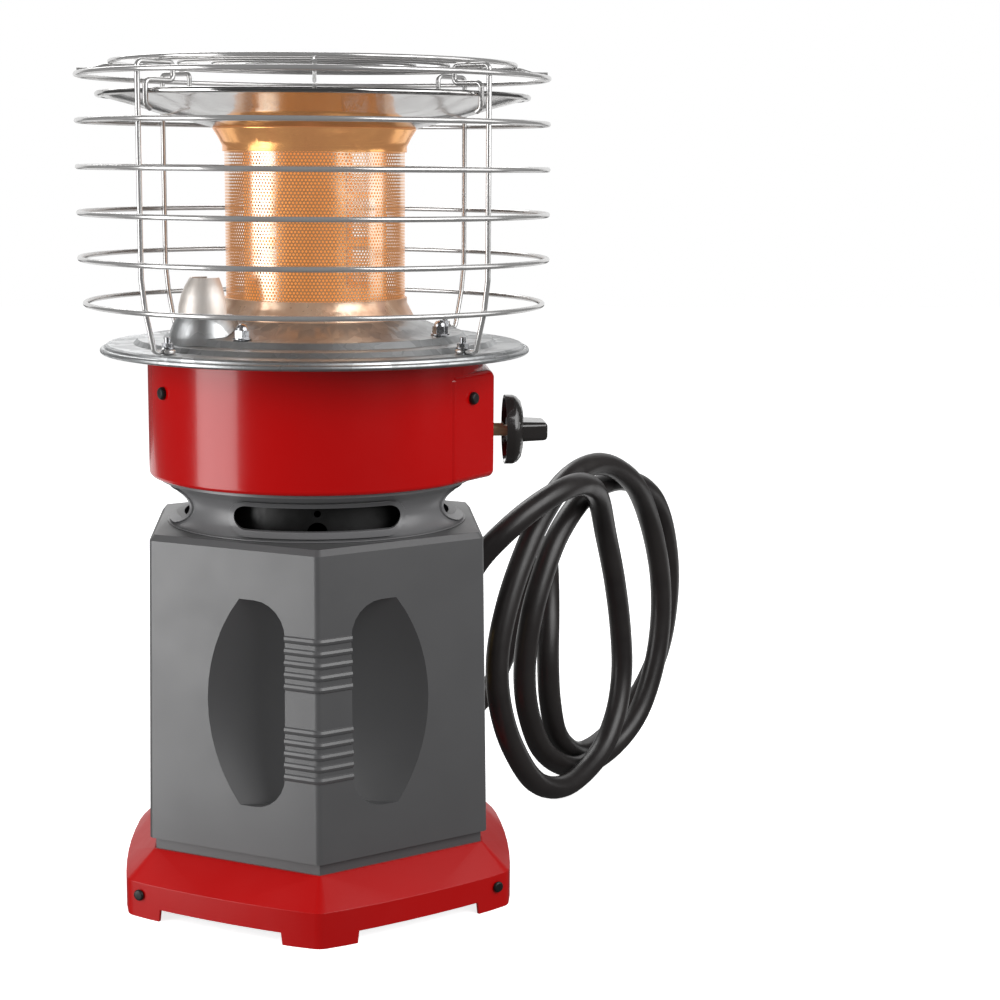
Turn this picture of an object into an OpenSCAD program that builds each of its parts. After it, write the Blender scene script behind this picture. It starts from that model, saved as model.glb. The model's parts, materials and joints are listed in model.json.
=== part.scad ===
// Portable radiant propane heater: hexagonal base and housing, round control drum,
// dish plate, cylindrical burner, top reflector and a wire guard, with its gas hose.
// Origin on the heater's axis at floor level, +Z up, -Y towards the front grip,
// +X towards the control knob. All sizes in millimetres.

/* [Base] */
// Width of the red base across its flats
base_flat = 268; // [250:1:300]
// Rounding of the base's six upright corners
base_corner_r = 12; // [8:1:24]
// How far the base's walls bow outwards at their middle
base_bow = 4.5; // [0:0.5:6]
// Height of the upright wall of the base
base_wall_top = 25; // [18:0.5:34]
// Height of the deck that carries the housing
base_deck_z = 44; // [38:0.5:60]
// Thickness of the base shell
base_sheet = 2.5; // [1.6:0.1:4]
// Height of the gap under the wall between two feet
foot_h = 8.5; // [4:0.5:12]
// Length of a foot along each wall, from the sharp corner
foot_len = 29; // [18:1:45]
// How much a foot narrows towards the floor, on each side
foot_draft = 1.2; // [0:0.1:3]
// Distance of a side screw from the sharp corner, along the wall
base_screw_in = 11.5; // [9:0.5:20]

/* [Housing] */
// Width of the housing across its flats at the bottom of its walls
housing_flat_low = 236; // [226:0.5:244]
// Width of the housing across its flats at the top of its walls
housing_flat_top = 229.6; // [222:0.1:236]
// Height of the housing's drafted walls
housing_wall_h = 210.5; // [190:0.5:240]
// Rounding of the housing's upright corners
housing_corner_r = 5; // [3:0.5:10]
// Height of the lip that stands on the base
lip_h = 8.5; // [5:0.5:14]
// How far the lip sets back from the walls
lip_inset = 4; // [2:0.5:7]
// Height of the bevel round the housing's top edge
shoulder_bevel = 4; // [1:0.5:6]
// Rise of the shoulder from the bevel to the collar
shoulder_rise = 0.5; // [0.5:0.5:6]
// Wall thickness of the moulded housing
housing_wall = 3; // [2:0.1:4]
// Radius of the opening in the housing's top
housing_mouth_r = 93; // [86:0.5:96]

/* [Grips] */
// Height of a finger recess
grip_h = 143; // [110:1:160]
// Height of the middle of the recesses above the floor
grip_mid_z = 158; // [145:1:170]
// Distance of a recess's straight edge from the corner, along the wall
grip_edge = 26; // [24:0.5:34]
// Distance of a recess's furthest bow from the corner, along the wall
grip_reach = 87; // [75:1:92]
// Radius of the bowed edge, seen square to the wall
grip_bow_r = 113.5; // [100:0.5:140]
// Radius of the recess's two round corners
grip_corner_r = 24; // [10:1:30]
// Radius of the scooped floor of the recess
grip_scoop_r = 160; // [150:1:190]
// Radius of a grip rib
rib_r = 3; // [2:0.1:4]
// How far a rib stands proud of the wall
rib_proud = 1.6; // [0.6:0.1:1.8]
// Distance from one rib to the next
rib_pitch = 8.1; // [6.5:0.1:9.5]
// Ribs in each of the two groups
rib_count = 5; // [3:1:5]
// Distance between the middles of the two rib groups
rib_group_step = 62.3; // [56:0.1:70]

/* [Vent collar] */
// Radius of the collar at its foot
collar_r = 106.5; // [103:0.5:108]
// Radius of the collar at its waist
collar_waist_r = 95.3; // [94:0.1:98]
// Height of the collar
collar_h = 33.1; // [30:0.1:36]
// Wall thickness of the collar
collar_wall = 3; // [2:0.1:4]
// Radius of the collar's waisted curve
collar_curve_r = 14; // [14:0.1:15]
// Height of a vent slot
vent_h = 16.4; // [12:0.1:18]
// Width of the raised frame round a vent slot
vent_frame = 3.6; // [2:0.1:4]
// How far the raised frames stand proud of the collar
vent_proud = 1.4; // [0.8:0.1:2]
// Half the angle that the front and rear vents cover
front_vent_half = 36.5; // [24:0.5:37]
// Half the angle that the two side vents cover
side_vent_half = 24; // [14:0.5:26]

/* [Heat sleeve] */
// Outer radius of the steel sleeve inside the collar
sleeve_r = 84; // [78:0.5:88]
// Thickness of the sleeve's steel
sleeve_sheet = 1; // [0.8:0.1:2]

/* [Drum] */
// Outer radius of the control drum
drum_r = 118.5; // [116:0.5:124]
// Height of the control drum
drum_h = 94.6; // [90:0.1:110]
// Thickness of the drum's steel
drum_sheet = 1.6; // [1:0.1:2.4]
// Distance of the boss's flat face from the axis
boss_reach = 124.1; // [123:0.1:130]
// Height of the boss
boss_h = 76; // [66:1:84]
// Angle from the knob axis at which the boss leaves the drum
boss_angle = 37.3; // [30:0.1:42]
// Rounding of the boss's edges
boss_edge_r = 5.5; // [5.5:0.5:10]
// How far the boss stands proud of the drum where it leaves it
boss_step = 1.6; // [0.5:0.1:3]

/* [Valve and knob] */
// Height of the knob's axis above the drum's floor line
stem_rise = 29.5; // [26:0.5:36]
// Radius of the valve stem
stem_r = 4.7; // [3.5:0.1:5.5]
// Travel of the knob when it is pushed in
push_travel = 3; // [1:0.5:5]
// Radius of the knob's dial
knob_r = 25; // [18:0.5:28]
// Distance of the dial's back edge from the axis
knob_back_x = 134.6; // [133:0.1:138]
// Thickness of the dial at its edge
knob_dial_t = 6.5; // [4:0.5:9]
// Distance of the grip bar's end from the axis
knob_end_x = 164.6; // [158:0.1:168]
// Thickness of the knob's grip bar
knob_bar_t = 13; // [8:0.5:16]
// Length of the knob's grip bar across the dial
knob_bar_len = 36; // [26:1:40]

/* [Dish plate] */
// Outer radius of the dish plate
plate_r = 151.2; // [146:0.1:156]
// Thickness of the plate's sheet
plate_sheet = 1.2; // [0.8:0.1:2]
// How far the plate's edge turns down below its rim
plate_lip = 4.4; // [3.5:0.1:6]
// Radius of the rolled bead on plate and reflector
bead_r = 2; // [1.5:0.1:3]
// Height of the raised middle above the band that rests on the drum
plate_rise = 14.5; // [12:0.5:18]

/* [Burner] */
// Radius of the perforated burner
burner_r = 63; // [58:0.5:66]
// Height of the perforated part
burner_h = 109; // [90:0.5:120]
// Height of the lower skirt
skirt_h = 10; // [7:0.5:14]
// Radius of the lower skirt at its foot
skirt_r = 69; // [67:0.5:71]
// Height of the flare on top of the burner
flare_h = 12.1; // [10:0.1:22]
// Radius of the flare at its top
flare_r = 71; // [68:0.5:74]
// Sheet thickness of the burner's parts
burner_sheet = 1; // [0.8:0.1:1.6]
// Radius of the mixing tube
mixer_r = 14; // [10:0.5:15.5]

/* [Reflector] */
// Outer radius of the reflector
reflector_r = 151; // [146:0.5:152]
// Rise of the reflector from its floor to the middle of its rim
reflector_rise = 21.6; // [18:0.1:24]

/* [Guard] */
// Radius of the guard rings, to the middle of the wire
ring_r = 163.2; // [161:0.1:170]
// Radius of the guard's wire
wire_r = 1.8; // [1.4:0.1:2]
// Number of guard rings
ring_count = 6; // [6:1:6]
// Height from one ring to the next
ring_pitch = 31.2; // [30.6:0.1:31.4]
// Radius of the lowest ring, where the guard draws in
low_ring_r = 160; // [159.5:0.1:161]
// Radius of the wires in the top grille
grille_wire_r = 1.6; // [1.2:0.1:2]
// Radius of the outer ring of the top grille
grille_r = 140; // [134:0.5:144]
// Number of rings in the top grille
grille_count = 6; // [4:1:7]
// Distance from one grille ring to the next
grille_pitch = 23.5; // [20:0.5:24]
// Height left between the reflector's rim and the guard clips above it
clip_gap = 3; // [1:0.5:4]
// Radius of the circle of guard studs on the plate
guard_stud_r = 138; // [134:0.5:141]

/* [Hose and regulator] */
// Outer diameter of the gas hose
hose_d = 18.5; // [14:0.5:19]
// Height of the gas inlet on the housing's rear right wall
inlet_z = 115; // [105:1:125]
// Distance of the inlet from the middle of that wall
inlet_side = 42.5; // [38:0.5:46]
// Radius of the regulator's body
regulator_r = 28; // [24:0.5:32]
// Radius of the regulator's hand wheel
wheel_r = 18.5; // [16:0.5:19]
// Radius of the male cylinder thread on the hand wheel
plug_r = 11.2; // [10:0.1:12]
// Length of that thread
plug_len = 15; // [12:0.5:18]

/* [Fasteners] */
// Radius of a pan screw's head
head_r = 3.9; // [3:0.1:5]
// Thickness of a pan screw's head
head_h = 2.2; // [1.5:0.1:3]
// Radius of the round heads of the drum's screws
drum_head_r = 4.4; // [3:0.1:5]
// Thickness of those heads
drum_head_h = 3.6; // [2:0.1:4]
// Radius of a screw's shank
shank_r = 2; // [1.5:0.1:2.5]

/* [Clearances] */
// Gap left where one piece seats on another
seat = 0.2; // [0.1:0.05:0.3]
// Gap round a screw in its hole
hole_gap = 0.2; // [0.1:0.05:0.4]
// Running gap round a shaft
run_gap = 0.1; // [0.08:0.01:0.1]

/* [Hidden] */
$fn = 64;
cut = 1;
thin = 0.01;
cos30 = cos(30);

// heights of the stack, from the floor up
housing_z0 = base_deck_z + lip_h;
housing_z1 = housing_z0 + housing_wall_h;
shoulder_z = housing_z1 + shoulder_bevel;
collar_z = shoulder_z + shoulder_rise + seat;
vent_z = collar_z + 14;
waist_z = vent_z;
drum_z = collar_z + collar_h + seat;
drum_floor_z = drum_z + drum_sheet;
drum_top = drum_z + drum_h;
band_z = drum_top + seat + plate_sheet;
rim_z = band_z - 3.5;
middle_z = band_z + plate_rise;
skirt_z = middle_z + seat;
screen_z = skirt_z + skirt_h;
screen_top = screen_z + burner_h;
flare_top = screen_top + flare_h;
reflector_z = flare_top + seat;
reflector_rim_z = reflector_z + reflector_rise;
clip_arm_z = reflector_rim_z + bead_r + clip_gap + wire_r;
top_ring_z = clip_arm_z + 6.4;
clip_top_z = top_ring_z + 5.2;
grille_z = clip_top_z + wire_r + seat + grille_wire_r;
stem_z = drum_z + stem_rise;
upright_r = ring_r - 2 * wire_r;

// the housing's taper, and the frame of one of its drafted walls
housing_mid = (housing_z0 + housing_z1) / 2;
function housing_flat(z) = housing_flat_low
    + (housing_flat_top - housing_flat_low) * (z - housing_z0) / housing_wall_h;
function corner_reach(flat) = flat / 2 / cos30;
wall_tilt = atan((housing_flat_low - housing_flat_top) / 2 / housing_wall_h);

// ---------- paths and sweeps ----------
function unit(v) = v / norm(v);
function fillet(a, b, c, r, n) =
    let (u = unit(a - b), w = unit(c - b), half = acos(u * w) / 2,
         t = min(r / tan(half), 0.45 * min(norm(a - b), norm(c - b))),
         rr = t * tan(half), mid = b + unit(u + w) * rr / sin(half))
    [for (i = [0:n]) mid + rr * unit((b + u * t - mid) * (1 - i / n) + (b + w * t - mid) * i / n)];
function rounded(p, r, n = 4) = concat([p[0]],
    [for (i = [1:len(p) - 2]) each fillet(p[i - 1], p[i], p[i + 1], r, n)], [p[len(p) - 1]]);
function tangent(p, i) = unit(p[min(i + 1, len(p) - 1)] - p[max(i - 1, 0)]);
function square_to(t) = unit(cross(t, abs(t[2]) < 0.9 ? [0, 0, 1] : [1, 0, 0]));
function carried(v, t) = unit(v - (v * t) * t);
function sides_of(p) = [for (i = 0, v = square_to(tangent(p, 0)); i < len(p);
    i = i + 1, v = i < len(p) ? carried(v, tangent(p, i)) : v) v];

// a round bar along the points p
module swept(p, r, sides = 10) {
    v = sides_of(p);
    rings = [for (i = [0:len(p) - 1], k = [0:sides - 1])
        let (a = 360 * k / sides) p[i] + r * (cos(a) * v[i] + sin(a) * cross(tangent(p, i), v[i]))];
    last = (len(p) - 1) * sides;
    polyhedron(rings, concat(
        [[for (k = [0:sides - 1]) k]],
        [for (i = [0:len(p) - 2], k = [0:sides - 1]) let (a = i * sides, m = (k + 1) % sides)
            each [[a + k, a + sides + k, a + m], [a + m, a + sides + k, a + sides + m]]],
        [[for (k = [sides - 1:-1:0]) last + k]]));
}

// ---------- small helpers ----------
// turns the front (-Y) to an angle round the axis, positive towards +X
module at_angle(a) {
    rotate([0, 0, a]) children();
}

// a cylinder that points outwards at an angle round the axis, from radius r0 to r1
module radial(a, z, r0, r1, r) {
    at_angle(a) translate([0, -r0, z]) rotate([90, 0, 0]) cylinder(h = r1 - r0, r = r);
}

module tube(r_out, r_in, z, h) {
    translate([0, 0, z]) difference() {
        cylinder(h = h, r = r_out);
        translate([0, 0, -cut]) cylinder(h = h + 2 * cut, r = r_in);
    }
}

module hexagon(flat, z, h) {
    translate([0, 0, z]) rotate([0, 0, 30]) cylinder(h = h, r = corner_reach(flat), $fn = 6);
}

// six round posts at the corners of a hexagon, for a hull
module corner_posts(flat, r, z, h = thin) {
    for (i = [0:5]) at_angle(60 * i)
        translate([0, -(flat / 2 - r) / cos30, z]) cylinder(h = h, r = r, $fn = 32);
}

// posts along the six walls between the corners, for a hull whose walls bow outwards
module wall_posts(flat, bow, z, h = thin) {
    for (i = [0:5], t = [-0.75, -0.45, -0.15, 0.15, 0.45, 0.75]) at_angle(60 * i + 30)
        translate([t * corner_reach(flat) / 2, bow_post_r - flat / 2 - bow * (1 - t * t), z])
            cylinder(h = h, r = bow_post_r, $fn = 8);
}

module hex_nut(across, h, bore) {
    difference() {
        cylinder(h = h, r = across / 2 / cos30, $fn = 6);
        translate([0, 0, -cut]) cylinder(h = h + 2 * cut, r = bore);
    }
}

// pan-head screw: the head's seat at z = 0, the shank pointing down
module pan_screw(shank_len, r = head_r, h = head_h) {
    rotate_extrude() polygon([[0, -shank_len], [shank_r, -shank_len], [shank_r, 0], [r, 0],
        [r, h * 0.5], [r * 0.8, h * 0.88], [0, h]]);
}

// ---------- base ----------
wall_half = corner_reach(base_flat) / 2;
base_screw_z = base_wall_top - 8.5;
bow_post_r = 1;
screw_bow = base_bow * (1 - pow(1 - (base_screw_in + head_r) / wall_half, 2));
pan_gap = 0.3;
base_plate_z = foot_h + 1.5;
base_plate_flat = base_flat - 2 * (base_sheet + pan_gap);
base_top_flat = housing_flat_low - 2 * lip_inset + 3;
boss_post_r = 9.5;
boss_post_reach = corner_reach(housing_flat_low - 2 * lip_inset - 2 * housing_wall) - 10;
switch_place = [-60, 40];

module base_solid(inset) {
    hull() {
        corner_posts(base_flat - 2 * inset, base_corner_r - inset, inset > 0 ? -cut : 0,
            base_wall_top - inset * 0.4 + (inset > 0 ? cut : 0));
        wall_posts(base_flat - 2 * inset, base_bow, inset > 0 ? -cut : 0,
            base_wall_top - inset * 0.4 + (inset > 0 ? cut : 0));
        corner_posts(base_top_flat - 2 * inset, 4, base_deck_z - inset - thin);
    }
}

// the four places of the side screws, with the screw axis along -Y
module base_screw_places() {
    for (a = [-30, 30, 150, 210], s = [a == -30 || a == 150 ? -1 : 1])
        at_angle(a) translate([s * (wall_half - base_screw_in), -base_flat / 2 - screw_bow, base_screw_z])
            rotate([90, 0, 0]) children();
}

module base_shell() {
    color("firebrick") difference() {
        base_solid(0);
        base_solid(base_sheet);
        translate([0, 0, base_deck_z / 2]) cylinder(h = base_deck_z, r = housing_mouth_r - 5);
        for (i = [0:5]) at_angle(60 * i + 30)
            translate([0, -base_flat / 2 + base_sheet + 3, 0]) rotate([90, 0, 0])
                linear_extrude(base_sheet + 3 + base_bow + cut) polygon([
                    [-wall_half + foot_len - foot_draft, -cut], [wall_half - foot_len + foot_draft, -cut],
                    [wall_half - foot_len, foot_h], [-wall_half + foot_len, foot_h]]);
        base_screw_places() translate([0, 0, -base_sheet - screw_bow - cut])
            cylinder(h = base_sheet + screw_bow + 2 * cut, r = shank_r + hole_gap);
        for (i = [0:5]) at_angle(60 * i) translate([0, -boss_post_reach, base_deck_z - base_sheet - cut])
            cylinder(h = base_sheet + 2 * cut, r = shank_r + hole_gap);
    }
}

// sheet-steel pan that closes the base from below, with an upturned edge for the side screws
module base_plate() {
    color("silver") difference() {
        hull() corner_posts(base_plate_flat, base_corner_r - base_sheet - pan_gap, base_plate_z, 11);
        hull() corner_posts(base_plate_flat - 2.4, base_corner_r - base_sheet - pan_gap - 1.2,
            base_plate_z + 1.2, 11);
        base_screw_places() translate([0, 0, -base_sheet - screw_bow - 4])
            cylinder(h = screw_bow + 6, r = shank_r + hole_gap / 2);
        for (x = [-1, 1]) translate([switch_place[0] + 10 * x, switch_place[1], base_plate_z - cut])
            cylinder(h = 4, r = 1.6);
    }
}

module base_screws() {
    color([0.05, 0.05, 0.05]) base_screw_places() pan_screw(8.5);
}

module tip_switch() {
    color("dimgray") translate([switch_place[0], switch_place[1], base_plate_z + 1.2 + seat]) {
        cylinder(h = 24, r = 11);
        translate([0, 0, 24]) cylinder(h = 3, r1 = 11, r2 = 8);
        translate([-16, -6, 0]) cube([32, 12, 2]);
        for (x = [-4, 4]) translate([x - 1.5, -0.4, 26]) cube([3, 0.8, 7]);
    }
}

// ---------- housing ----------
wall_reach = corner_reach(housing_flat(grip_mid_z));
bow_x = -wall_reach / 2 + grip_reach - grip_bow_r;
scoop_back = sqrt(pow(grip_scoop_r, 2) - pow(grip_bow_r, 2));
inlet_wall = housing_flat(inlet_z) / 2;
fitting_r = 7;

module housing_solid() {
    hull() {
        corner_posts(housing_flat_low, housing_corner_r, housing_z0);
        corner_posts(housing_flat_top, housing_corner_r, housing_z1);
        corner_posts(housing_flat_top - 1.6 * shoulder_bevel, housing_corner_r - 1, shoulder_z);
        translate([0, 0, shoulder_z + shoulder_rise - thin]) cylinder(h = thin, r = collar_r, $fn = 64);
    }
}

module housing_cavity() {
    ledge_z = housing_z0 + housing_wall;
    hull() {
        corner_posts(housing_flat(ledge_z) - 2 * housing_wall, housing_corner_r - 2, ledge_z);
        corner_posts(housing_flat_top - 2 * housing_wall, housing_corner_r - 2, housing_z1 - housing_wall);
        corner_posts(housing_flat_top - 1.6 * shoulder_bevel - 2 * housing_wall, housing_corner_r - 2,
            shoulder_z - housing_wall - thin);
        translate([0, 0, shoulder_z + shoulder_rise - housing_wall - thin])
            cylinder(h = thin, r = collar_r - housing_wall, $fn = 64);
    }
}

// outline of a finger recess on the wall, grown by g: x along the wall, y up
function grip_outline(g) =
    let (edge = -wall_reach / 2 + grip_edge - g, top = grip_h / 2 + g, c = grip_corner_r + g,
         bow = grip_bow_r + g, swing = asin(top / bow))
    concat(
        [for (a = [180:15:270]) [edge + c + c * cos(a), -top + c + c * sin(a)]],
        [for (i = [0:12]) let (a = -swing + swing * i / 6) [bow_x + bow * cos(a), bow * sin(a)]],
        [for (a = [90:15:180]) [edge + c + c * cos(a), top - c + c * sin(a)]]);

// the frame of the drafted wall to the right of a grip corner, at the grips' height
module right_wall() {
    at_angle(30) translate([0, -housing_flat(grip_mid_z) / 2, grip_mid_z])
        rotate([-wall_tilt, 0, 0]) children();
}

module grip_scoop(g, front) {
    intersection() {
        translate([0, 60, 0]) rotate([90, 0, 0]) linear_extrude(60 - front) polygon(grip_outline(g));
        translate([bow_x, -scoop_back, 0]) sphere(r = grip_scoop_r + g, $fn = 96);
    }
}

// what is done to the wall right of the front corner is done to all four grip walls
module grip_walls() {
    for (turn = [0, 180], side = [0, 1])
        rotate([0, 0, turn]) mirror([side, 0, 0]) right_wall() children();
}

module grip_rib(z) {
    reach = corner_reach(housing_flat(z) - 2 * (rib_r - rib_proud));
    end = grip_edge + 1;
    swept(rounded([[-end * cos30, -reach + end / 2, z], [0, -reach, z],
        [end * cos30, -reach + end / 2, z]], 5, 3), rib_r);
}

module grip_ribs() {
    for (turn = [0, 180], group = [-0.5, 0.5], i = [0:rib_count - 1])
        rotate([0, 0, turn])
            grip_rib(grip_mid_z + group * rib_group_step + (i - (rib_count - 1) / 2) * rib_pitch);
}

module housing() {
    color("gray") difference() {
        union() {
            difference() {
                union() {
                    housing_solid();
                    hexagon(housing_flat_low - 2 * lip_inset, base_deck_z, lip_h + cut);
                }
                housing_cavity();
                hexagon(housing_flat_low - 2 * lip_inset - 2 * housing_wall,
                    base_deck_z - cut, lip_h + housing_wall + 2 * cut);
                translate([0, 0, housing_z1]) cylinder(h = 40, r = housing_mouth_r);
            }
            grip_walls() grip_scoop(housing_wall, 0.5);
            grip_ribs();
            for (i = [0:5]) at_angle(60 * i) translate([0, -boss_post_reach, base_deck_z + 2 * seat])
                cylinder(h = 24, r = boss_post_r);
        }
        grip_walls() grip_scoop(0, -2);
        for (i = [0:5]) at_angle(60 * i) translate([0, -boss_post_reach, base_deck_z - cut])
            cylinder(h = 18, r = shank_r + hole_gap / 2);
        for (a = collar_screw_angles) at_angle(a)
            translate([0, -collar_screw_reach, sleeve_z0]) cylinder(h = 20, r = shank_r + hole_gap);
        inlet_frame() translate([0, 0, -20]) cylinder(h = 40, r = fitting_r + hole_gap);
    }
}

module housing_screws() {
    color("silver") for (i = [0:5]) at_angle(60 * i)
        translate([0, -boss_post_reach, base_deck_z - base_sheet]) mirror([0, 0, 1]) pan_screw(14);
}

// ---------- vent collar and heat sleeve ----------
collar_axis = collar_waist_r + collar_curve_r;
collar_screw_angles = [50.5, 129.5, 230.5, 309.5];
collar_screw_reach = 100.2;
collar_screw_grip = 1.2;
foot_swing = asin((waist_z - collar_z - 0.6) / collar_curve_r);
brim_swing = 68;
sleeve_z0 = shoulder_z + shoulder_rise - housing_wall - seat;
sleeve_hole_z = vent_z + 2;

// waisted outline at a distance g inside the outer face
function waist(g) = [for (i = [0:10]) let (a = -foot_swing + (foot_swing + brim_swing) * i / 10)
    [collar_axis - (collar_curve_r + g) * cos(a), waist_z + (collar_curve_r + g) * sin(a)]];

// outline with two round ends, for a vent slot
function round_ends(half, h) = concat(
    [for (a = [-90:15:90]) [half - h / 2 + h / 2 * cos(a), h / 2 * sin(a)]],
    [for (a = [90:15:270]) [h / 2 - half + h / 2 * cos(a), h / 2 * sin(a)]]);

// straight prisms through the collar's wall at the front, rear and sides, grown by g
module vents(g) {
    for (a = [0:90:270]) at_angle(a) translate([0, -70, vent_z]) rotate([90, 0, 0])
        linear_extrude(50) polygon(round_ends(
            collar_waist_r * sin(a % 180 == 0 ? front_vent_half : side_vent_half) + g, vent_h + 2 * g));
}

module vent_collar() {
    top = collar_z + collar_h;
    inner = [for (p = waist(collar_wall)) if (p[1] > collar_z + collar_wall && p[1] < top - 2.6) p];
    color("gray") difference() {
        union() {
            rotate_extrude($fn = 96) polygon(concat(
                [[collar_r, collar_z], [collar_r, collar_z + 0.6]],
                waist(0), [[112, top - 2.2], [112, top], [inner[len(inner) - 1][0], top]],
                [for (i = [len(inner) - 1:-1:0]) inner[i]],
                [[inner[0][0], collar_z]]));
            intersection() {
                vents(vent_frame);
                rotate_extrude($fn = 96) polygon(concat(waist(-vent_proud),
                    [for (i = [10:-1:0]) waist(collar_wall / 2)[i]]));
            }
        }
        difference() {
            vents(0);
            cylinder(h = drum_z, r = sleeve_r + 2);
        }
        for (a = collar_screw_angles) at_angle(a) translate([0, -collar_screw_reach, collar_z - cut])
            cylinder(h = cut + collar_screw_grip + seat, r = shank_r + hole_gap / 2);
    }
}

module collar_screws() {
    color("silver") for (a = collar_screw_angles) at_angle(a)
        translate([0, -collar_screw_reach, sleeve_z0]) mirror([0, 0, 1])
            pan_screw(collar_z + collar_screw_grip - sleeve_z0);
}

// the sleeve and its two flat flanges, each a piece of sheet of its own
module heat_sleeve() {
    color([0.12, 0.12, 0.12]) {
        difference() {
            tube(sleeve_r, sleeve_r - sleeve_sheet, sleeve_z0 - sleeve_sheet,
                drum_floor_z + seat + 2 * sleeve_sheet - sleeve_z0);
            radial(0, sleeve_hole_z, sleeve_r - 3, sleeve_r + 2, 2.4);
            radial(0, sleeve_hole_z - 13, sleeve_r - 3, sleeve_r + 2, 7);
            for (a = [-28.5, -24.5, 24.5, 28.5]) at_angle(a)
                translate([-0.8, -sleeve_r - 1, sleeve_hole_z + 4]) cube([1.6, 3, 3.2]);
        }
        tube(housing_mouth_r + 2, sleeve_r + seat, sleeve_z0 - sleeve_sheet, sleeve_sheet);
        tube(sleeve_r + 9, sleeve_r + seat, drum_floor_z + seat, sleeve_sheet);
    }
}

// ---------- drum ----------
boss_mid = boss_reach - boss_edge_r;
boss_face_r = drum_r + boss_step;
boss_side = ((boss_face_r - boss_edge_r) - cos(boss_angle) * boss_mid) / sin(boss_angle);
boss_root = (boss_face_r - boss_edge_r) * [cos(boss_angle), sin(boss_angle)];
drum_screw_rise = 58.5;
drum_screw_z = drum_z + drum_screw_rise;
drum_screws_at = [[-61.3, drum_screw_z + 3.8], [180, drum_screw_z]];
skirt_wall_r = drum_r - drum_sheet - 0.3;
boss_screw_x = 107.4;
boss_screw = [boss_screw_x, -((boss_face_r - cos(boss_angle) * boss_screw_x) / sin(boss_angle))];

module boss(r) {
    hull() for (s = [-1, 1], z = [drum_z + boss_edge_r, drum_z + boss_h - boss_edge_r],
            p = [[boss_mid, boss_side], boss_root])
        translate([p[0], s * p[1], z]) sphere(r = r, $fn = 24);
}

module boss_screw_place() {
    translate([boss_screw[0], boss_screw[1], drum_screw_z])
        rotate([0, 0, -boss_angle]) rotate([0, 90, 0]) children();
}

module drum() {
    round_r = 3;
    color("firebrick") difference() {
        union() {
            rotate_extrude($fn = 96) polygon(concat(
                [[sleeve_r + 2, drum_z]],
                [for (a = [-90:15:0]) [drum_r - round_r, drum_z + round_r] + round_r * [cos(a), sin(a)]],
                [[drum_r, drum_top], [0, drum_top], [0, drum_floor_z], [sleeve_r + 2, drum_floor_z]]));
            boss(boss_edge_r);
        }
        translate([0, 0, drum_floor_z]) cylinder(h = drum_h, r = drum_r - drum_sheet, $fn = 96);
        boss(boss_edge_r - drum_sheet);
        translate([0, 0, drum_z - cut]) cylinder(h = drum_sheet + 2 * cut, r = sleeve_r + 2, $fn = 96);
        translate([boss_mid, 0, stem_z]) rotate([0, 90, 0]) cylinder(h = 20, r = stem_r + 2.5);
        for (p = drum_screws_at) radial(p[0], p[1], drum_r - 5, drum_r + 5, shank_r + hole_gap);
        boss_screw_place() translate([0, 0, -5]) cylinder(h = 8, r = shank_r + hole_gap);
    }
}

// steel skirt under the dish plate that the drum slips over and is screwed to
module mounting_skirt() {
    flange_r = 98;
    color("silver") difference() {
        union() {
            tube(skirt_wall_r, skirt_wall_r - 1.4, drum_screw_z - 10, drum_top - drum_screw_z + 10);
            tube(skirt_wall_r, flange_r, drum_top - 1.4, 1.4);
            for (a = burner_stud_angles) at_angle(a)
                translate([-9, -flange_r - 2, drum_top - 1.4]) cube([18, 12, 1.4]);
        }
        for (p = drum_screws_at)
            radial(p[0], p[1], drum_r - 8, drum_r + 2, shank_r + hole_gap / 2);
        boss_screw_place() translate([0, 0, -14]) cylinder(h = 14, r = shank_r + hole_gap / 2);
        for (a = burner_stud_angles) at_angle(a) translate([0, -burner_stud_reach, drum_top - 3])
            cylinder(h = 6, r = shank_r + hole_gap / 2);
    }
}

module drum_screws() {
    color([0.05, 0.05, 0.05]) {
        for (p = drum_screws_at) at_angle(p[0]) translate([0, -drum_r, p[1]])
            rotate([90, 0, 0]) pan_screw(6, drum_head_r, drum_head_h);
        boss_screw_place() pan_screw(9, drum_head_r, drum_head_h);
    }
}

// ---------- valve, stem and knob, all on an axis along +X ----------
bracket_x = 108;
valve_back = 70;
valve_inlet_x = valve_back + 6;
plug_back = 78;
plug_front = 102;
plug_body_r = 8;
bush_r = 8;
bush_end = 119;
stem_back = 88;
stem_end = knob_back_x + 7;
stem_bore = stem_r + run_gap;

module on_stem(x) {
    translate([x, 0, stem_z]) rotate([0, 90, 0]) children();
}

module valve_bracket() {
    foot_z = drum_floor_z + seat;
    color("silver") difference() {
        union() {
            translate([bracket_x, -26, foot_z]) cube([1.6, 52, stem_z + 17 - foot_z]);
            translate([sleeve_r + 10, -26, foot_z]) cube([bracket_x - sleeve_r - 10 + 1.6, 52, 1.6]);
        }
        on_stem(bracket_x - cut) cylinder(h = 4, r = bush_r + hole_gap);
    }
}

module gas_valve() {
    color("darkgoldenrod") difference() {
        union() {
            on_stem(valve_back) cylinder(h = bracket_x - seat - valve_back, r = 13.5);
            on_stem(valve_back + 8) cylinder(h = 22, r = 15.5, $fn = 6);
            on_stem(valve_back + 8) cylinder(h = bush_end - valve_back - 8, r = bush_r);
            translate([valve_back + 14, 0, stem_z + 10]) cylinder(h = 9, r = 6, $fn = 6);
            translate([valve_inlet_x, 0, stem_z - 20]) cylinder(h = 10, r = 6.5, $fn = 6);
            on_stem(valve_back - 5) cylinder(h = 6, r = 6);
        }
        on_stem(plug_back - 1) cylinder(h = plug_front - plug_back + 1.4, r = plug_body_r + run_gap);
        on_stem(plug_front) cylinder(h = bush_end - plug_front + cut, r = stem_r + 0.4);
    }
}

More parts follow.
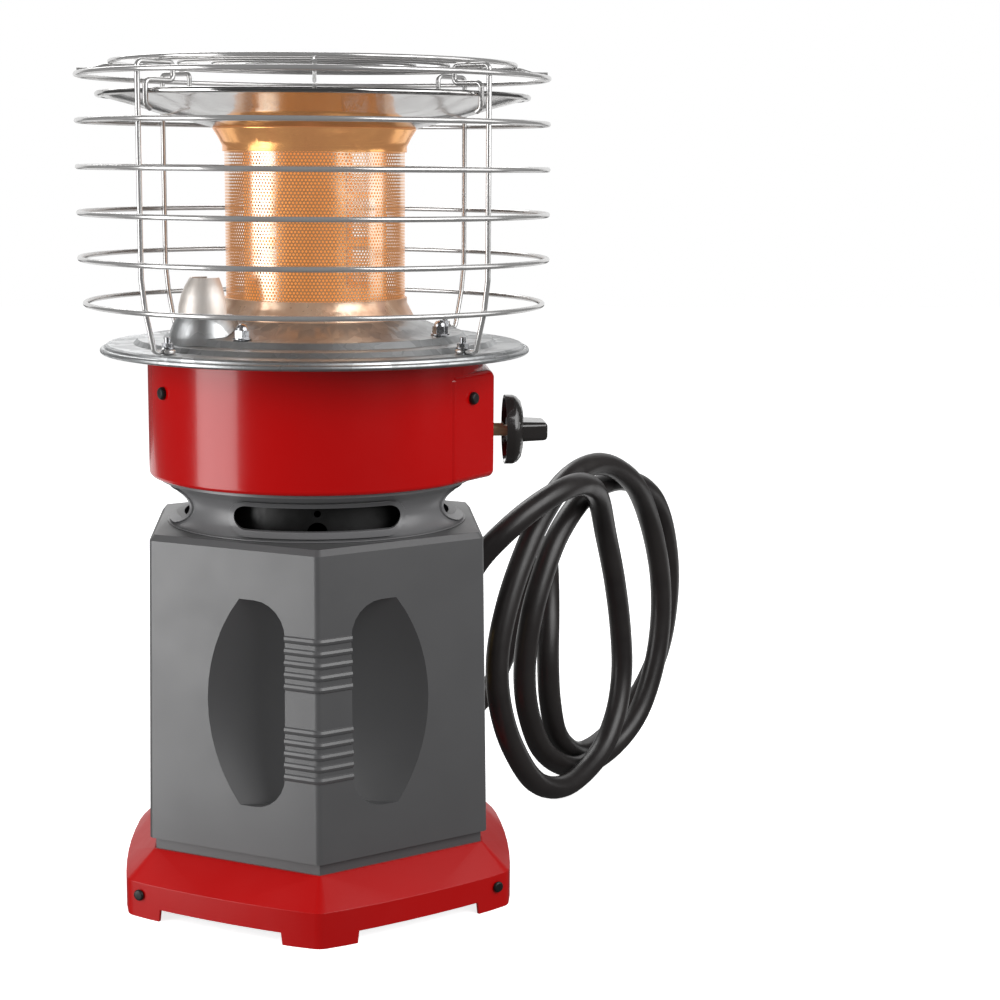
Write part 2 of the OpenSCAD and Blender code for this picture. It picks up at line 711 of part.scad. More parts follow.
module valve_nut() {
    color("gold") on_stem(bracket_x + 1.6 + seat) hex_nut(22, 3.6, bush_r + seat);
}

// the rotor that opens the gas way; the stem turns it and slides in it
module valve_plug() {
    color("goldenrod") difference() {
        on_stem(plug_back) cylinder(h = plug_front - plug_back, r = plug_body_r);
        on_stem(stem_back - push_travel - 1) cylinder(h = 40, r = stem_bore);
    }
    color("goldenrod") on_stem(stem_back - push_travel - 3) intersection() {
        cylinder(h = 2, r = stem_bore + 0.5);
        cube([20, 20, 10], center = true);
    }
}

module valve_stem() {
    color("khaki") difference() {
        on_stem(stem_back) cylinder(h = stem_end - stem_back, r = stem_r);
        translate([knob_back_x - 1, -stem_r, stem_z + stem_r * 0.62]) cube([20, 2 * stem_r, 4]);
    }
}

module knob() {
    hub_r = stem_r + 4;
    bar_x = knob_back_x + knob_dial_t + 4;
    color([0.07, 0.07, 0.07]) difference() {
        union() {
            on_stem(knob_back_x) rotate_extrude($fn = 72) polygon([
                [0, 1.5], [hub_r, 1.5], [hub_r, 6], [knob_r - 7, 7.5], [knob_r - 2.2, 3.6],
                [knob_r - 1.2, 0], [knob_r, 0], [knob_r, knob_dial_t - 1],
                [knob_r - 1.2, knob_dial_t + 2], [knob_r - 4.4, knob_dial_t + 4.8],
                [knob_r - 9, knob_dial_t + 6], [0, knob_dial_t + 6]]);
            hull() {
                for (y = [-1, 1], z = [-1, 1]) {
                    translate([bar_x, y * (knob_bar_len / 2 - 3), stem_z + z * (knob_bar_t / 2 - 3)])
                        sphere(r = 3.6, $fn = 20);
                    translate([knob_end_x - 3, y * (knob_bar_len / 2 - 5),
                        stem_z + z * (knob_bar_t / 2 - 3)]) sphere(r = 3, $fn = 20);
                }
            }
        }
        difference() {
            on_stem(knob_back_x - cut) cylinder(h = stem_end - knob_back_x + cut + seat, r = stem_r + seat);
            translate([knob_back_x - 2, -stem_r, stem_z + stem_r * 0.62 + seat]) cube([20, 2 * stem_r, 4]);
        }
    }
}

// ---------- gas way ----------
jet_z = stem_z + 10;

module supply_tube() {
    color("goldenrod") swept(rounded([[valve_back - 5 - seat, 0, stem_z], [0, 0, stem_z],
        [0, 0, jet_z]], 12, 5), 4.5, 12);
}

module orifice() {
    color("gold") translate([0, 0, jet_z + seat]) {
        cylinder(h = 7, r = 7, $fn = 6);
        cylinder(h = 13, r = 4);
    }
}

module mixing_tube() {
    foot = jet_z + seat + 7.2;
    cone_h = 16;
    sheet = 1.2;
    top = screen_z + 20;
    color("silver") difference() {
        union() {
            translate([0, 0, foot]) cylinder(h = cone_h, r1 = mixer_r - 4, r2 = mixer_r);
            translate([0, 0, foot + cone_h]) cylinder(h = top - foot - cone_h, r = mixer_r);
            tube(mixer_r + 5, mixer_r - 1, middle_z - plate_sheet - seat - sheet, sheet);
        }
        translate([0, 0, foot - cut])
            cylinder(h = cone_h + 2 * cut, r1 = mixer_r - 4 - sheet, r2 = mixer_r - sheet);
        translate([0, 0, foot + cone_h]) cylinder(h = top, r = mixer_r - sheet);
        for (a = [0:60:300]) radial(a, screen_z + 8, mixer_r - 3, mixer_r + 2, 4);
        for (a = [0, 90, 180, 270]) radial(a, foot + 9, 4, mixer_r + 4, 3);
    }
}

// small tube from the valve to the pilot
pilot_angle = -57;
pilot_reach = 89.4;
pilot_place = pilot_reach * [sin(pilot_angle), -cos(pilot_angle)];
pilot_pitch = 7.4;
pilot_z = band_z + 20;
pilot_dome_z = band_z + 19;
hood_h = 25.5;
hood_cut_x = 6;
pilot_tube_r = 2.2;

module pilot_tube() {
    outlet_x = valve_back + 14;
    outlet_z = stem_z + 19 + seat;
    foot_z = pilot_z - 7 - seat;
    bend = 12;
    color("goldenrod") swept(rounded([[outlet_x, 0, outlet_z], [outlet_x, 0, outlet_z + bend],
        [sleeve_r / 3, -skirt_r * 0.9, outlet_z + 1.5 * bend],
        [pilot_place[0] + bend, pilot_place[1] - bend / 3, foot_z - 3.3 * bend],
        [pilot_place[0], pilot_place[1], foot_z - 2.3 * bend],
        [pilot_place[0], pilot_place[1], foot_z]], bend, 4), pilot_tube_r, 8);
}

// ---------- dish plate ----------
burner_stud_angles = [-30, 60, 150, 240];
burner_stud_reach = 98.4;
step_r = drum_r + 6.5;
plate_top = [[mixer_r + 1.5, middle_z], [skirt_r + 3, middle_z], [skirt_r + 23, band_z + 5.6],
    [skirt_r + 35, band_z + 4.4], [skirt_r + 38.5, band_z], [step_r, band_z],
    [step_r + 3, rim_z]];

// points of a rolled bead round c, from one angle to another
function bead(c, from, to) = [for (i = [0:16]) let (a = from + (to - from) * i / 16)
    c + bead_r * [cos(a), sin(a)]];

module dish_plate() {
    color("lightgray") difference() {
        rotate_extrude($fn = 96) polygon(concat(plate_top,
            [[plate_r - 5.5, rim_z], [plate_r - 3.9, rim_z - 1.2]],
            bead([plate_r - bead_r, rim_z - plate_lip], 131.4, -170),
            [[plate_r - 5.2, rim_z - 2.6], [plate_r - 6, rim_z - plate_sheet]],
            [for (i = [len(plate_top) - 1:-1:0]) plate_top[i] - [0, plate_sheet]]));
        for (a = [45:90:315]) at_angle(a) translate([0, -guard_stud_r, rim_z - 4])
            cylinder(h = 8, r = shank_r + hole_gap);
        for (a = burner_stud_angles) at_angle(a) translate([0, -burner_stud_reach, band_z - 4])
            cylinder(h = 16, r = shank_r + hole_gap);
        translate([pilot_place[0], pilot_place[1], band_z - 4]) cylinder(h = 20, r = pilot_tube_r + 0.6);
        for (a = tie_angles) at_angle(a) translate([0, -tie_reach, middle_z - 4])
            cylinder(h = 8, r = shank_r + hole_gap);
    }
}

// studs with cap nuts that hold the plate down on the mounting skirt
module burner_studs() {
    foot = band_z + 5.6;
    color("gainsboro") for (a = burner_stud_angles) at_angle(a) translate([0, -burner_stud_reach, 0]) {
        translate([0, 0, drum_top - 6]) cylinder(h = foot + 4 - drum_top + 6, r = shank_r);
        translate([0, 0, foot]) cylinder(h = 1, r = 6.4);
        translate([0, 0, foot + 1]) cylinder(h = 5, r = 5.4, $fn = 6);
        translate([0, 0, foot + 6]) intersection() {
            sphere(r = 4.4);
            cylinder(h = 5, r = 5);
        }
        translate([0, 0, drum_top - 1.4 - seat - 3.2]) cylinder(h = 3.2, r = 4, $fn = 6);
    }
}

// ---------- burner ----------
tie_angles = [30, 150, 270];
tie_reach = 40;
frame_r = 50;
frame_row_h = 32;
frame_band_h = 4;
frame_window_w = 28.4;
frame_window_turn = -49;

module burner_skirt() {
    color("tan") difference() {
        rotate_extrude($fn = 96) polygon([
            [mixer_r + 5.4, skirt_z], [skirt_r, skirt_z], [skirt_r, skirt_z + 1.5],
            [burner_r + 0.4 + burner_sheet, screen_z], [burner_r + 0.4 + burner_sheet, screen_z + 4],
            [burner_r + 0.4, screen_z + 4], [burner_r + 0.4, screen_z - 0.4],
            [skirt_r - burner_sheet, skirt_z + 1.3], [skirt_r - burner_sheet, skirt_z + burner_sheet],
            [mixer_r + 5.4, skirt_z + burner_sheet]]);
        for (a = tie_angles) at_angle(a) translate([0, -tie_reach, skirt_z - cut])
            cylinder(h = 4, r = shank_r + hole_gap);
    }
}

// tubular cage inside the perforated cylinder, with three rows of four windows
module burner_frame() {
    foot = skirt_z + burner_sheet + seat;
    color("sienna") difference() {
        union() {
            tube(frame_r, frame_r - 1, foot, screen_top - seat - foot);
            tube(frame_r, frame_r - 6, foot, 1);
        }
        for (row = [1:3], turn = [0:90:270]) at_angle(frame_window_turn + turn)
            translate([-frame_window_w / 2, -frame_r - 2, screen_top - row * frame_row_h])
                cube([frame_window_w, 5, frame_row_h - frame_band_h]);
    }
}

module burner_screen() {
    color("peru") tube(burner_r, burner_r - burner_sheet, skirt_z + burner_sheet + seat,
        screen_top - skirt_z - burner_sheet - seat);
}

module burner_head() {
    flare_bend = flare_h * 0.54;
    color("tan") difference() {
        rotate_extrude($fn = 96) polygon([
            [0, flare_top - burner_sheet], [flare_r - burner_sheet - 0.4, flare_top - burner_sheet],
            [burner_r + 3.6, screen_top + flare_bend], [burner_r + 0.4, screen_top],
            [burner_r + 0.4, screen_top - 4], [burner_r + 0.4 + burner_sheet, screen_top - 4],
            [burner_r + 0.4 + burner_sheet, screen_top], [burner_r + 4.8, screen_top + flare_bend],
            [flare_r, flare_top - 0.6], [flare_r, flare_top], [0, flare_top]]);
        for (a = tie_angles) at_angle(a) translate([0, -tie_reach, flare_top - 3])
            cylinder(h = 6, r = shank_r + hole_gap);
    }
}

module tie_rods() {
    color("silver") for (a = tie_angles) at_angle(a) translate([0, -tie_reach, middle_z - 7])
        cylinder(h = reflector_z + 8 - middle_z + 7, r = shank_r);
}

module tie_nuts() {
    color("gainsboro") for (a = tie_angles) at_angle(a) translate([0, -tie_reach, 0]) {
        translate([0, 0, reflector_z + 1 + seat]) hex_nut(7, 3.2, shank_r + hole_gap / 2);
        translate([0, 0, middle_z - plate_sheet - seat - 3.2]) hex_nut(7, 3.2, shank_r + hole_gap / 2);
    }
}

// ---------- reflector ----------
reflector_low = [[0, 0], [flare_r, 0], [flare_r + 38.5, 9.6], [flare_r + 53, 14.1],
    [reflector_r - 11, reflector_rise - 3.4], [reflector_r - 3, reflector_rise - 0.9]];

module reflector() {
    color("gainsboro") difference() {
        rotate_extrude($fn = 96) translate([0, reflector_z]) {
            polygon(concat(reflector_low,
                [for (i = [len(reflector_low) - 1:-1:0]) reflector_low[i] + [0, 1]]));
            translate([reflector_r - bead_r, reflector_rise]) circle(r = bead_r, $fn = 24);
        }
        for (a = tie_angles) at_angle(a) translate([0, -tie_reach, reflector_z - 2])
            cylinder(h = 6, r = shank_r + hole_gap);
    }
}

// ---------- pilot ----------
module at_pilot(z) {
    translate([pilot_place[0], pilot_place[1], z]) rotate([0, 0, atan2(-pilot_place[1], -pilot_place[0])])
        children();
}

// domed stand over the plate; local +X points at the burner
module pilot_base() {
    foot = band_z + seat;
    color("silver") difference() {
        translate([pilot_place[0], pilot_place[1], foot]) {
            cylinder(h = 5, r1 = 29, r2 = 25.5);
            translate([0, 0, 5]) cylinder(h = 9, r1 = 25.5, r2 = 22);
            translate([0, 0, 14]) cylinder(h = pilot_dome_z - foot - 14, r1 = 22, r2 = 19.4);
        }
        cylinder(h = 2 * band_z, r = skirt_r + 0.4, $fn = 96);
        rotate_extrude($fn = 96) polygon(concat([for (p = plate_top) p + [0, seat]],
            [[plate_r, rim_z - 20], [mixer_r, rim_z - 20]]));
        at_pilot(foot - 10) for (y = [-pilot_pitch, 0, pilot_pitch]) translate([0, y, 0])
            cylinder(h = 40, r = 3.1);
    }
}

// bell over the pilot, cut off flat at the top and upright on the burner's side
module pilot_hood() {
    bell = [[19, 0], [18.2, 7], [16.4, 14], [13.8, 20], [10.5, hood_h]];
    color("silver") at_pilot(pilot_dome_z + seat) difference() {
        rotate_extrude() polygon(concat(bell, [for (i = [len(bell) - 1:-1:0]) bell[i] - [1, 0]]));
        translate([hood_cut_x, -30, -cut]) cube([30, 60, 60]);
    }
}

module pilot_burner() {
    color("goldenrod") at_pilot(pilot_z - 7) {
        cylinder(h = 16, r = 2.9);
        translate([0, 0, 12]) cylinder(h = 5, r = 4.2);
    }
}

module thermocouple() {
    color("silver") at_pilot(pilot_z - 7) translate([0, -pilot_pitch, 0]) {
        cylinder(h = 9, r = 2.9);
        translate([0, 0, 9]) cylinder(h = 12, r = 1.9);
    }
}

module spark_electrode() {
    color("white") at_pilot(pilot_z - 7) translate([0, pilot_pitch, 0]) cylinder(h = 13, r = 2.9);
    color("silver") at_pilot(pilot_z - 7) translate([0, pilot_pitch, 13]) cylinder(h = 8, r = 0.9);
}

// ---------- guard ----------
// a point in the upright plane of one guard wire, at a radius and a height
function out(r, z) = [0, -r, z];
foot_wire_z = rim_z + seat + wire_r;
upright_path = [out(guard_stud_r + 4, foot_wire_z), out(guard_stud_r + 11.5, foot_wire_z),
    out(low_ring_r - 2 * wire_r, top_ring_z - (ring_count - 1) * ring_pitch),
    out(upright_r, top_ring_z - (ring_count - 1) * ring_pitch + 22),
    out(upright_r, clip_top_z), out(grille_r - 10.5, clip_top_z), out(grille_r - 10.5, clip_arm_z),
    out(reflector_r + seat + wire_r, clip_arm_z),
    out(reflector_r + seat + wire_r, clip_arm_z - 16), out(reflector_r - 2, clip_arm_z - 18.5)];

module guard_rings() {
    color("gainsboro") for (i = [0:ring_count - 1])
        translate([0, 0, top_ring_z - i * ring_pitch])
            rotate_extrude($fn = 96) translate([(i == ring_count - 1 ? low_ring_r : ring_r) + 0.1, 0])
                circle(r = wire_r, $fn = 16);
}

// four bent wires: an eyelet on the plate, up the side, and a clip over the reflector's rim
module guard_uprights() {
    color("gainsboro") for (a = [45:90:315]) at_angle(a) difference() {
        union() {
            swept(rounded(upright_path, 3.6, 4), wire_r);
            translate([0, -guard_stud_r, rim_z + seat]) cylinder(h = 2 * wire_r, r = 5.4);
        }
        translate([0, -guard_stud_r, rim_z - 2]) cylinder(h = 10, r = shank_r + hole_gap);
    }
}

module top_grille() {
    spoke_z = grille_z - grille_wire_r * 1.6;
    inner_r = grille_r - (grille_count - 1) * grille_pitch;
    color("gainsboro") {
        for (i = [0:grille_count - 1]) translate([0, 0, grille_z])
            rotate_extrude($fn = 96) translate([grille_r - i * grille_pitch, 0])
                circle(r = grille_wire_r, $fn = 16);
        for (a = [0:90:270]) at_angle(a)
            swept(rounded([out(inner_r - 2, spoke_z), out(grille_r + 4, spoke_z),
                out(grille_r + 13, top_ring_z + wire_r + grille_wire_r + 0.15),
                out(ring_r, top_ring_z + wire_r + grille_wire_r + 0.15)], 6, 4), grille_wire_r);
    }
}

module guard_studs() {
    color("silver") for (a = [45:90:315]) at_angle(a)
        translate([0, -guard_stud_r, rim_z - plate_sheet - seat]) mirror([0, 0, 1]) pan_screw(13);
}

module guard_nuts() {
    color("gainsboro") for (a = [45:90:315]) at_angle(a)
        translate([0, -guard_stud_r, rim_z + 2 * seat + 2 * wire_r]) difference() {
            union() {
                cylinder(h = 1, r = 4.6);
                cylinder(h = 3.6, r = 3.5 / cos30, $fn = 6);
            }
            translate([0, 0, -cut]) cylinder(h = 6, r = shank_r + hole_gap / 2);
        }
}

// ---------- inlet, hose and regulator ----------
elbow_out = 22;
hose_r = hose_d / 2;
ferrule_r = hose_r + 1.6;
ferrule_len = 30;
elbow_rise = 17;
inlet_face = [inlet_side * cos30 + inlet_wall / 2, inlet_wall * cos30 - inlet_side / 2];
elbow_place = inlet_face + elbow_out * [0.5, cos30];
hose_start = [106, 99];
regulator_place = [-35, 325];
regulator_axis = 20;

// the hose's route: up out of the inlet, over and down in three loops that stand on the
// floor beside the heater, a last turn back, and along the floor to the regulator
hose_route = [
    [106, 99, 144], [106, 99, 168], [112, 96, 194], [125, 93, 218], [146, 94, 240], [170, 105, 257],
    [194, 125, 267], [214, 154, 266], [229, 186, 250], [241, 221, 212], [251, 236, 171],
    [258, 245, 127], [260, 246, 87], [253, 234, 52], [235, 210, 24], [204, 172, 11], [175, 136, 25],
    [153, 109, 63], [142, 101, 100], [140, 102, 137], [147, 108, 174], [160, 120, 210],
    [178, 139, 244], [203, 171, 269], [234, 206, 275], [265, 242, 255], [286, 278, 217],
    [300, 298, 165], [302, 302, 115], [294, 295, 72], [278, 282, 37], [251, 259, 15],
    [218, 223, 11], [188, 188, 34], [172, 166, 72], [167, 158, 111], [171, 156, 152],
    [181, 164, 188], [197, 182, 222], [223, 217, 247], [256, 261, 253], [286, 296, 239],
    [305, 323, 209], [315, 338, 162], [314, 341, 117], [305, 338, 77], [284, 328, 39],
    [255, 304, 14], [226, 265, 12], [202, 215, 40], [192, 190, 77], [189, 183, 114],
    [190, 192, 149], [192, 215, 177], [194, 248, 192], [195, 285, 191], [193, 319, 174],
    [186, 343, 143], [177, 352, 105], [166, 350, 72], [151, 347, 44], [127, 343, 22], [98, 338, 11],
    [66, 330, 13], [36, 325, 20], [15, 325, 20]];

module inlet_frame() {
    translate([inlet_face[0], inlet_face[1], inlet_z]) rotate([0, 0, -30]) rotate([-90, 0, 0]) children();
}

module inlet_elbow() {
    color("goldenrod") difference() {
        union() {
            inlet_frame() {
                translate([0, 0, -16]) cylinder(h = elbow_out + 16, r = fitting_r);
                translate([0, 0, 0.6]) cylinder(h = 5, r = 12, $fn = 6);
            }
            translate([elbow_place[0], elbow_place[1], inlet_z]) {
                sphere(r = fitting_r + 1);
                cylinder(h = elbow_rise - 9, r = fitting_r);
                translate([0, 0, elbow_rise - 9]) cylinder(h = 8.6, r = 11, $fn = 6);
            }
        }
        inlet_frame() translate([0, 0, -17]) cylinder(h = 30, r = 3);
    }
}

module inlet_nut() {
    color("gold") inlet_frame() translate([0, 0, -housing_wall - 0.6 - 4]) hex_nut(24, 4, fitting_r + seat);
}

// rigid pipe inside the housing, from the inlet up to the valve
module gas_pipe() {
    start = inlet_face - 16.2 * [0.5, cos30];
    next = inlet_face - 34 * [0.5, cos30];
    color("goldenrod") swept(rounded([[start[0], start[1], inlet_z], [next[0], next[1], inlet_z],
        [62, 20, inlet_z + 40], [62, 12, drum_z - 36], [valve_inlet_x, 0, drum_z - 14],
        [valve_inlet_x, 0, stem_z - 20 - seat]], 16, 5), 4, 10);
}

module ferrule() {
    difference() {
        union() {
            cylinder(h = ferrule_len - 5, r = ferrule_r);
            translate([0, 0, ferrule_len - 5]) cylinder(h = 5, r1 = ferrule_r, r2 = hose_r + 0.7);
        }
        translate([0, 0, 12]) cylinder(h = ferrule_len, r = hose_r + 0.15);
    }
}

module hose_ferrules() {
    color("goldenrod") {
        translate([hose_start[0], hose_start[1], inlet_z + elbow_rise]) ferrule();
        translate([regulator_place[0] + regulator_r + 10, regulator_place[1], regulator_axis])
            rotate([0, 90, 0]) ferrule();
    }
}

module hose() {
    color([0.1, 0.1, 0.1]) swept(hose_route, hose_r, 10);
}

module regulator() {
    color("gray") difference() {
        translate([regulator_place[0], regulator_place[1], 0]) {
            cylinder(h = 12, r1 = regulator_r - 9, r2 = regulator_r - 6);
            translate([0, 0, 12]) cylinder(h = 16, r = regulator_r);
            translate([0, 0, 28]) cylinder(h = 9, r1 = regulator_r - 3, r2 = regulator_r - 8);
            translate([0, 0, 37]) cylinder(h = 4, r = 9);
            translate([0, 0, regulator_axis]) rotate([0, 90, 0])
                cylinder(h = regulator_r + 9.8, r = 9, $fn = 6);
            translate([0, 0, regulator_axis]) rotate([0, -90, 0]) cylinder(h = regulator_r + 4, r = 11);
        }
        translate([regulator_place[0] - regulator_r - 5, regulator_place[1], regulator_axis])
            rotate([0, 90, 0]) cylinder(h = 12, r = 6.2);
    }
}

// the fixed nipple with its round nose, and the hand wheel with the cylinder thread round it
nipple_len = 54;

module on_coupling(along) {
    translate([regulator_place[0] - regulator_r - along, regulator_place[1], regulator_axis])
        rotate([0, -90, 0]) children();
}

module coupling_nipple() {
    color("gold") on_coupling(-6) {
        cylinder(h = nipple_len, r = 6);
        translate([0, 0, nipple_len - 3]) cylinder(h = 3, r1 = 6, r2 = 8);
        translate([0, 0, nipple_len]) cylinder(h = 5, r = 8);
        translate([0, 0, nipple_len + 5]) cylinder(h = 6, r1 = 8, r2 = 4.5);
    }
}

module coupling_wheel() {
    color([0.1, 0.1, 0.1]) on_coupling(4.4) difference() {
        union() {
            cylinder(h = 22, r = wheel_r - 1.6);
            for (a = [0:30:330]) rotate([0, 0, a]) translate([wheel_r - 3, 0, 0]) cylinder(h = 22, r = 3);
            translate([0, 0, 22]) cylinder(h = plug_len, r = plug_r);
        }
        translate([0, 0, -cut]) cylinder(h = 60, r = 6 + run_gap);
    }
}

base_shell();
base_plate();
base_screws();
housing();
housing_screws();
tip_switch();
vent_collar();
collar_screws();
heat_sleeve();
drum();
mounting_skirt();
drum_screws();
valve_bracket();
gas_valve();
valve_nut();
valve_plug();
valve_stem();
knob();
supply_tube();
orifice();
mixing_tube();
pilot_tube();
dish_plate();
burner_studs();
burner_skirt();
burner_frame();
burner_screen();
burner_head();
tie_rods();
tie_nuts();
reflector();
pilot_base();
pilot_hood();
pilot_burner();
thermocouple();
spark_electrode();
guard_rings();
guard_uprights();
top_grille();
guard_studs();
guard_nuts();
inlet_elbow();
inlet_nut();
gas_pipe();
hose_ferrules();
hose();
regulator();
coupling_nipple();
coupling_wheel();
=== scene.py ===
"""Looks of a portable propane heater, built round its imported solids.

Every length in this file is in metres unless its name ends in _mm. The frame is the part's own:
+Z up, -Y towards the front grip corner and +X towards the control knob.
"""

import json
import logging
import math
from dataclasses import dataclass
from enum import Enum

import bmesh
import bpy
from mathutils import Matrix, Vector

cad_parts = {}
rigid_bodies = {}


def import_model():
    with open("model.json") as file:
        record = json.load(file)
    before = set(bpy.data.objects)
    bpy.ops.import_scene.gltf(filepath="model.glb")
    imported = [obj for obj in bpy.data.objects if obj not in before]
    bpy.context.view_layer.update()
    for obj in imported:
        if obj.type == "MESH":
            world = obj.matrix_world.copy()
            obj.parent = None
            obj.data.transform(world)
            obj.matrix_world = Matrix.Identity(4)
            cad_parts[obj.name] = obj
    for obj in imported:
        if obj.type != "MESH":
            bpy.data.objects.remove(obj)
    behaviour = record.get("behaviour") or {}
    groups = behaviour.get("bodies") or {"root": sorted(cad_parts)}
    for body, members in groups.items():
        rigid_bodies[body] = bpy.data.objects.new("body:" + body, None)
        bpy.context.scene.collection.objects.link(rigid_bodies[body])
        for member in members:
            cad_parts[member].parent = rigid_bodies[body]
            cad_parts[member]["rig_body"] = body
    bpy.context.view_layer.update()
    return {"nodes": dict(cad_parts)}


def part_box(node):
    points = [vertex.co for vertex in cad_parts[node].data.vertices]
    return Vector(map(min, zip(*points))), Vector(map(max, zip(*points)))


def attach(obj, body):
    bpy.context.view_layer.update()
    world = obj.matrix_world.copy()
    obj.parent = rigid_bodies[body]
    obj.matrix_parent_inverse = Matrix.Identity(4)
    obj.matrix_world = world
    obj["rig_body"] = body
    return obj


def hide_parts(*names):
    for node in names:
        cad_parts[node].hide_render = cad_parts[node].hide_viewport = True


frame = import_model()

LOG = logging.getLogger("heater")
MM = 0.001
TURN = 2 * math.pi

Point = tuple[float, float, float]
Tree = bpy.types.NodeTree
Source = bpy.types.NodeSocket | bpy.types.Node  # a node stands for its first output


# ---------------------------------------------------------------- colours and nodes
def shade(code: str) -> tuple[float, float, float, float]:
    """Turns an sRGB hex colour into linear red, green, blue and alpha.

    Args:
        code: six hex digits, such as "AA0B0C".

    Returns:
        The linear colour with an alpha of 1.
    """
    parts = [int(code[i : i + 2], 16) / 255 for i in (0, 2, 4)]
    linear = [c / 12.92 if c <= 0.04045 else ((c + 0.055) / 1.055) ** 2.4 for c in parts]
    return (*linear, 1.0)


def add(tree: Tree, kind: str, feeds: dict | None = None,
        **settings: object) -> bpy.types.Node:
    """Adds one node with its settings, values and links.

    Args:
        tree: the tree that gets the node.
        kind: Blender's name for the node type.
        feeds: input name or number to a value, or to the socket or node that feeds it.
        settings: properties of the node itself.

    Returns:
        The new node.
    """
    made = tree.nodes.new(kind)
    for name, value in settings.items():
        setattr(made, name, value)
    for name, value in (feeds or {}).items():
        if isinstance(value, bpy.types.Node):
            value = value.outputs[0]
        if isinstance(value, bpy.types.NodeSocket):
            tree.links.new(value, made.inputs[name])
        else:
            made.inputs[name].default_value = value
    return made


# ---------------------------------------------------------------- finishes
NOISE_FEATURE = 0.6  # width of a noise texture's features at scale 1
NOISE_ROUGHNESS = 0.55  # how strongly its finer layers show
NOISE_RANGE = (0.3, 0.7)  # nearly all of its values lie between these
SOFT_DETAIL = 2.0  # finer layers in the outlines of zinc crystals
FINE_DETAIL = 4.0  # finer layers in grain and stains
WORN_DETAIL = 5.0  # finer layers in worn patches
WORN_SHARE = 0.35  # size of the worn patches, against that of the stains
SPUN_STRETCH = (0.25, 0.25, 1.0)  # draws the grain out along the rings of a spun part
UPRIGHT_STRETCH = (1.0, 1.0, 0.35)  # draws heat's colours out upwards


class Grain(Enum):
    """How a surface's fine relief was made."""

    EVEN = "rolled, drawn, cast or moulded"
    ORANGE_PEEL = "sprayed on, in soft waves only"
    SPUN = "spun or turned round the heater's axis"


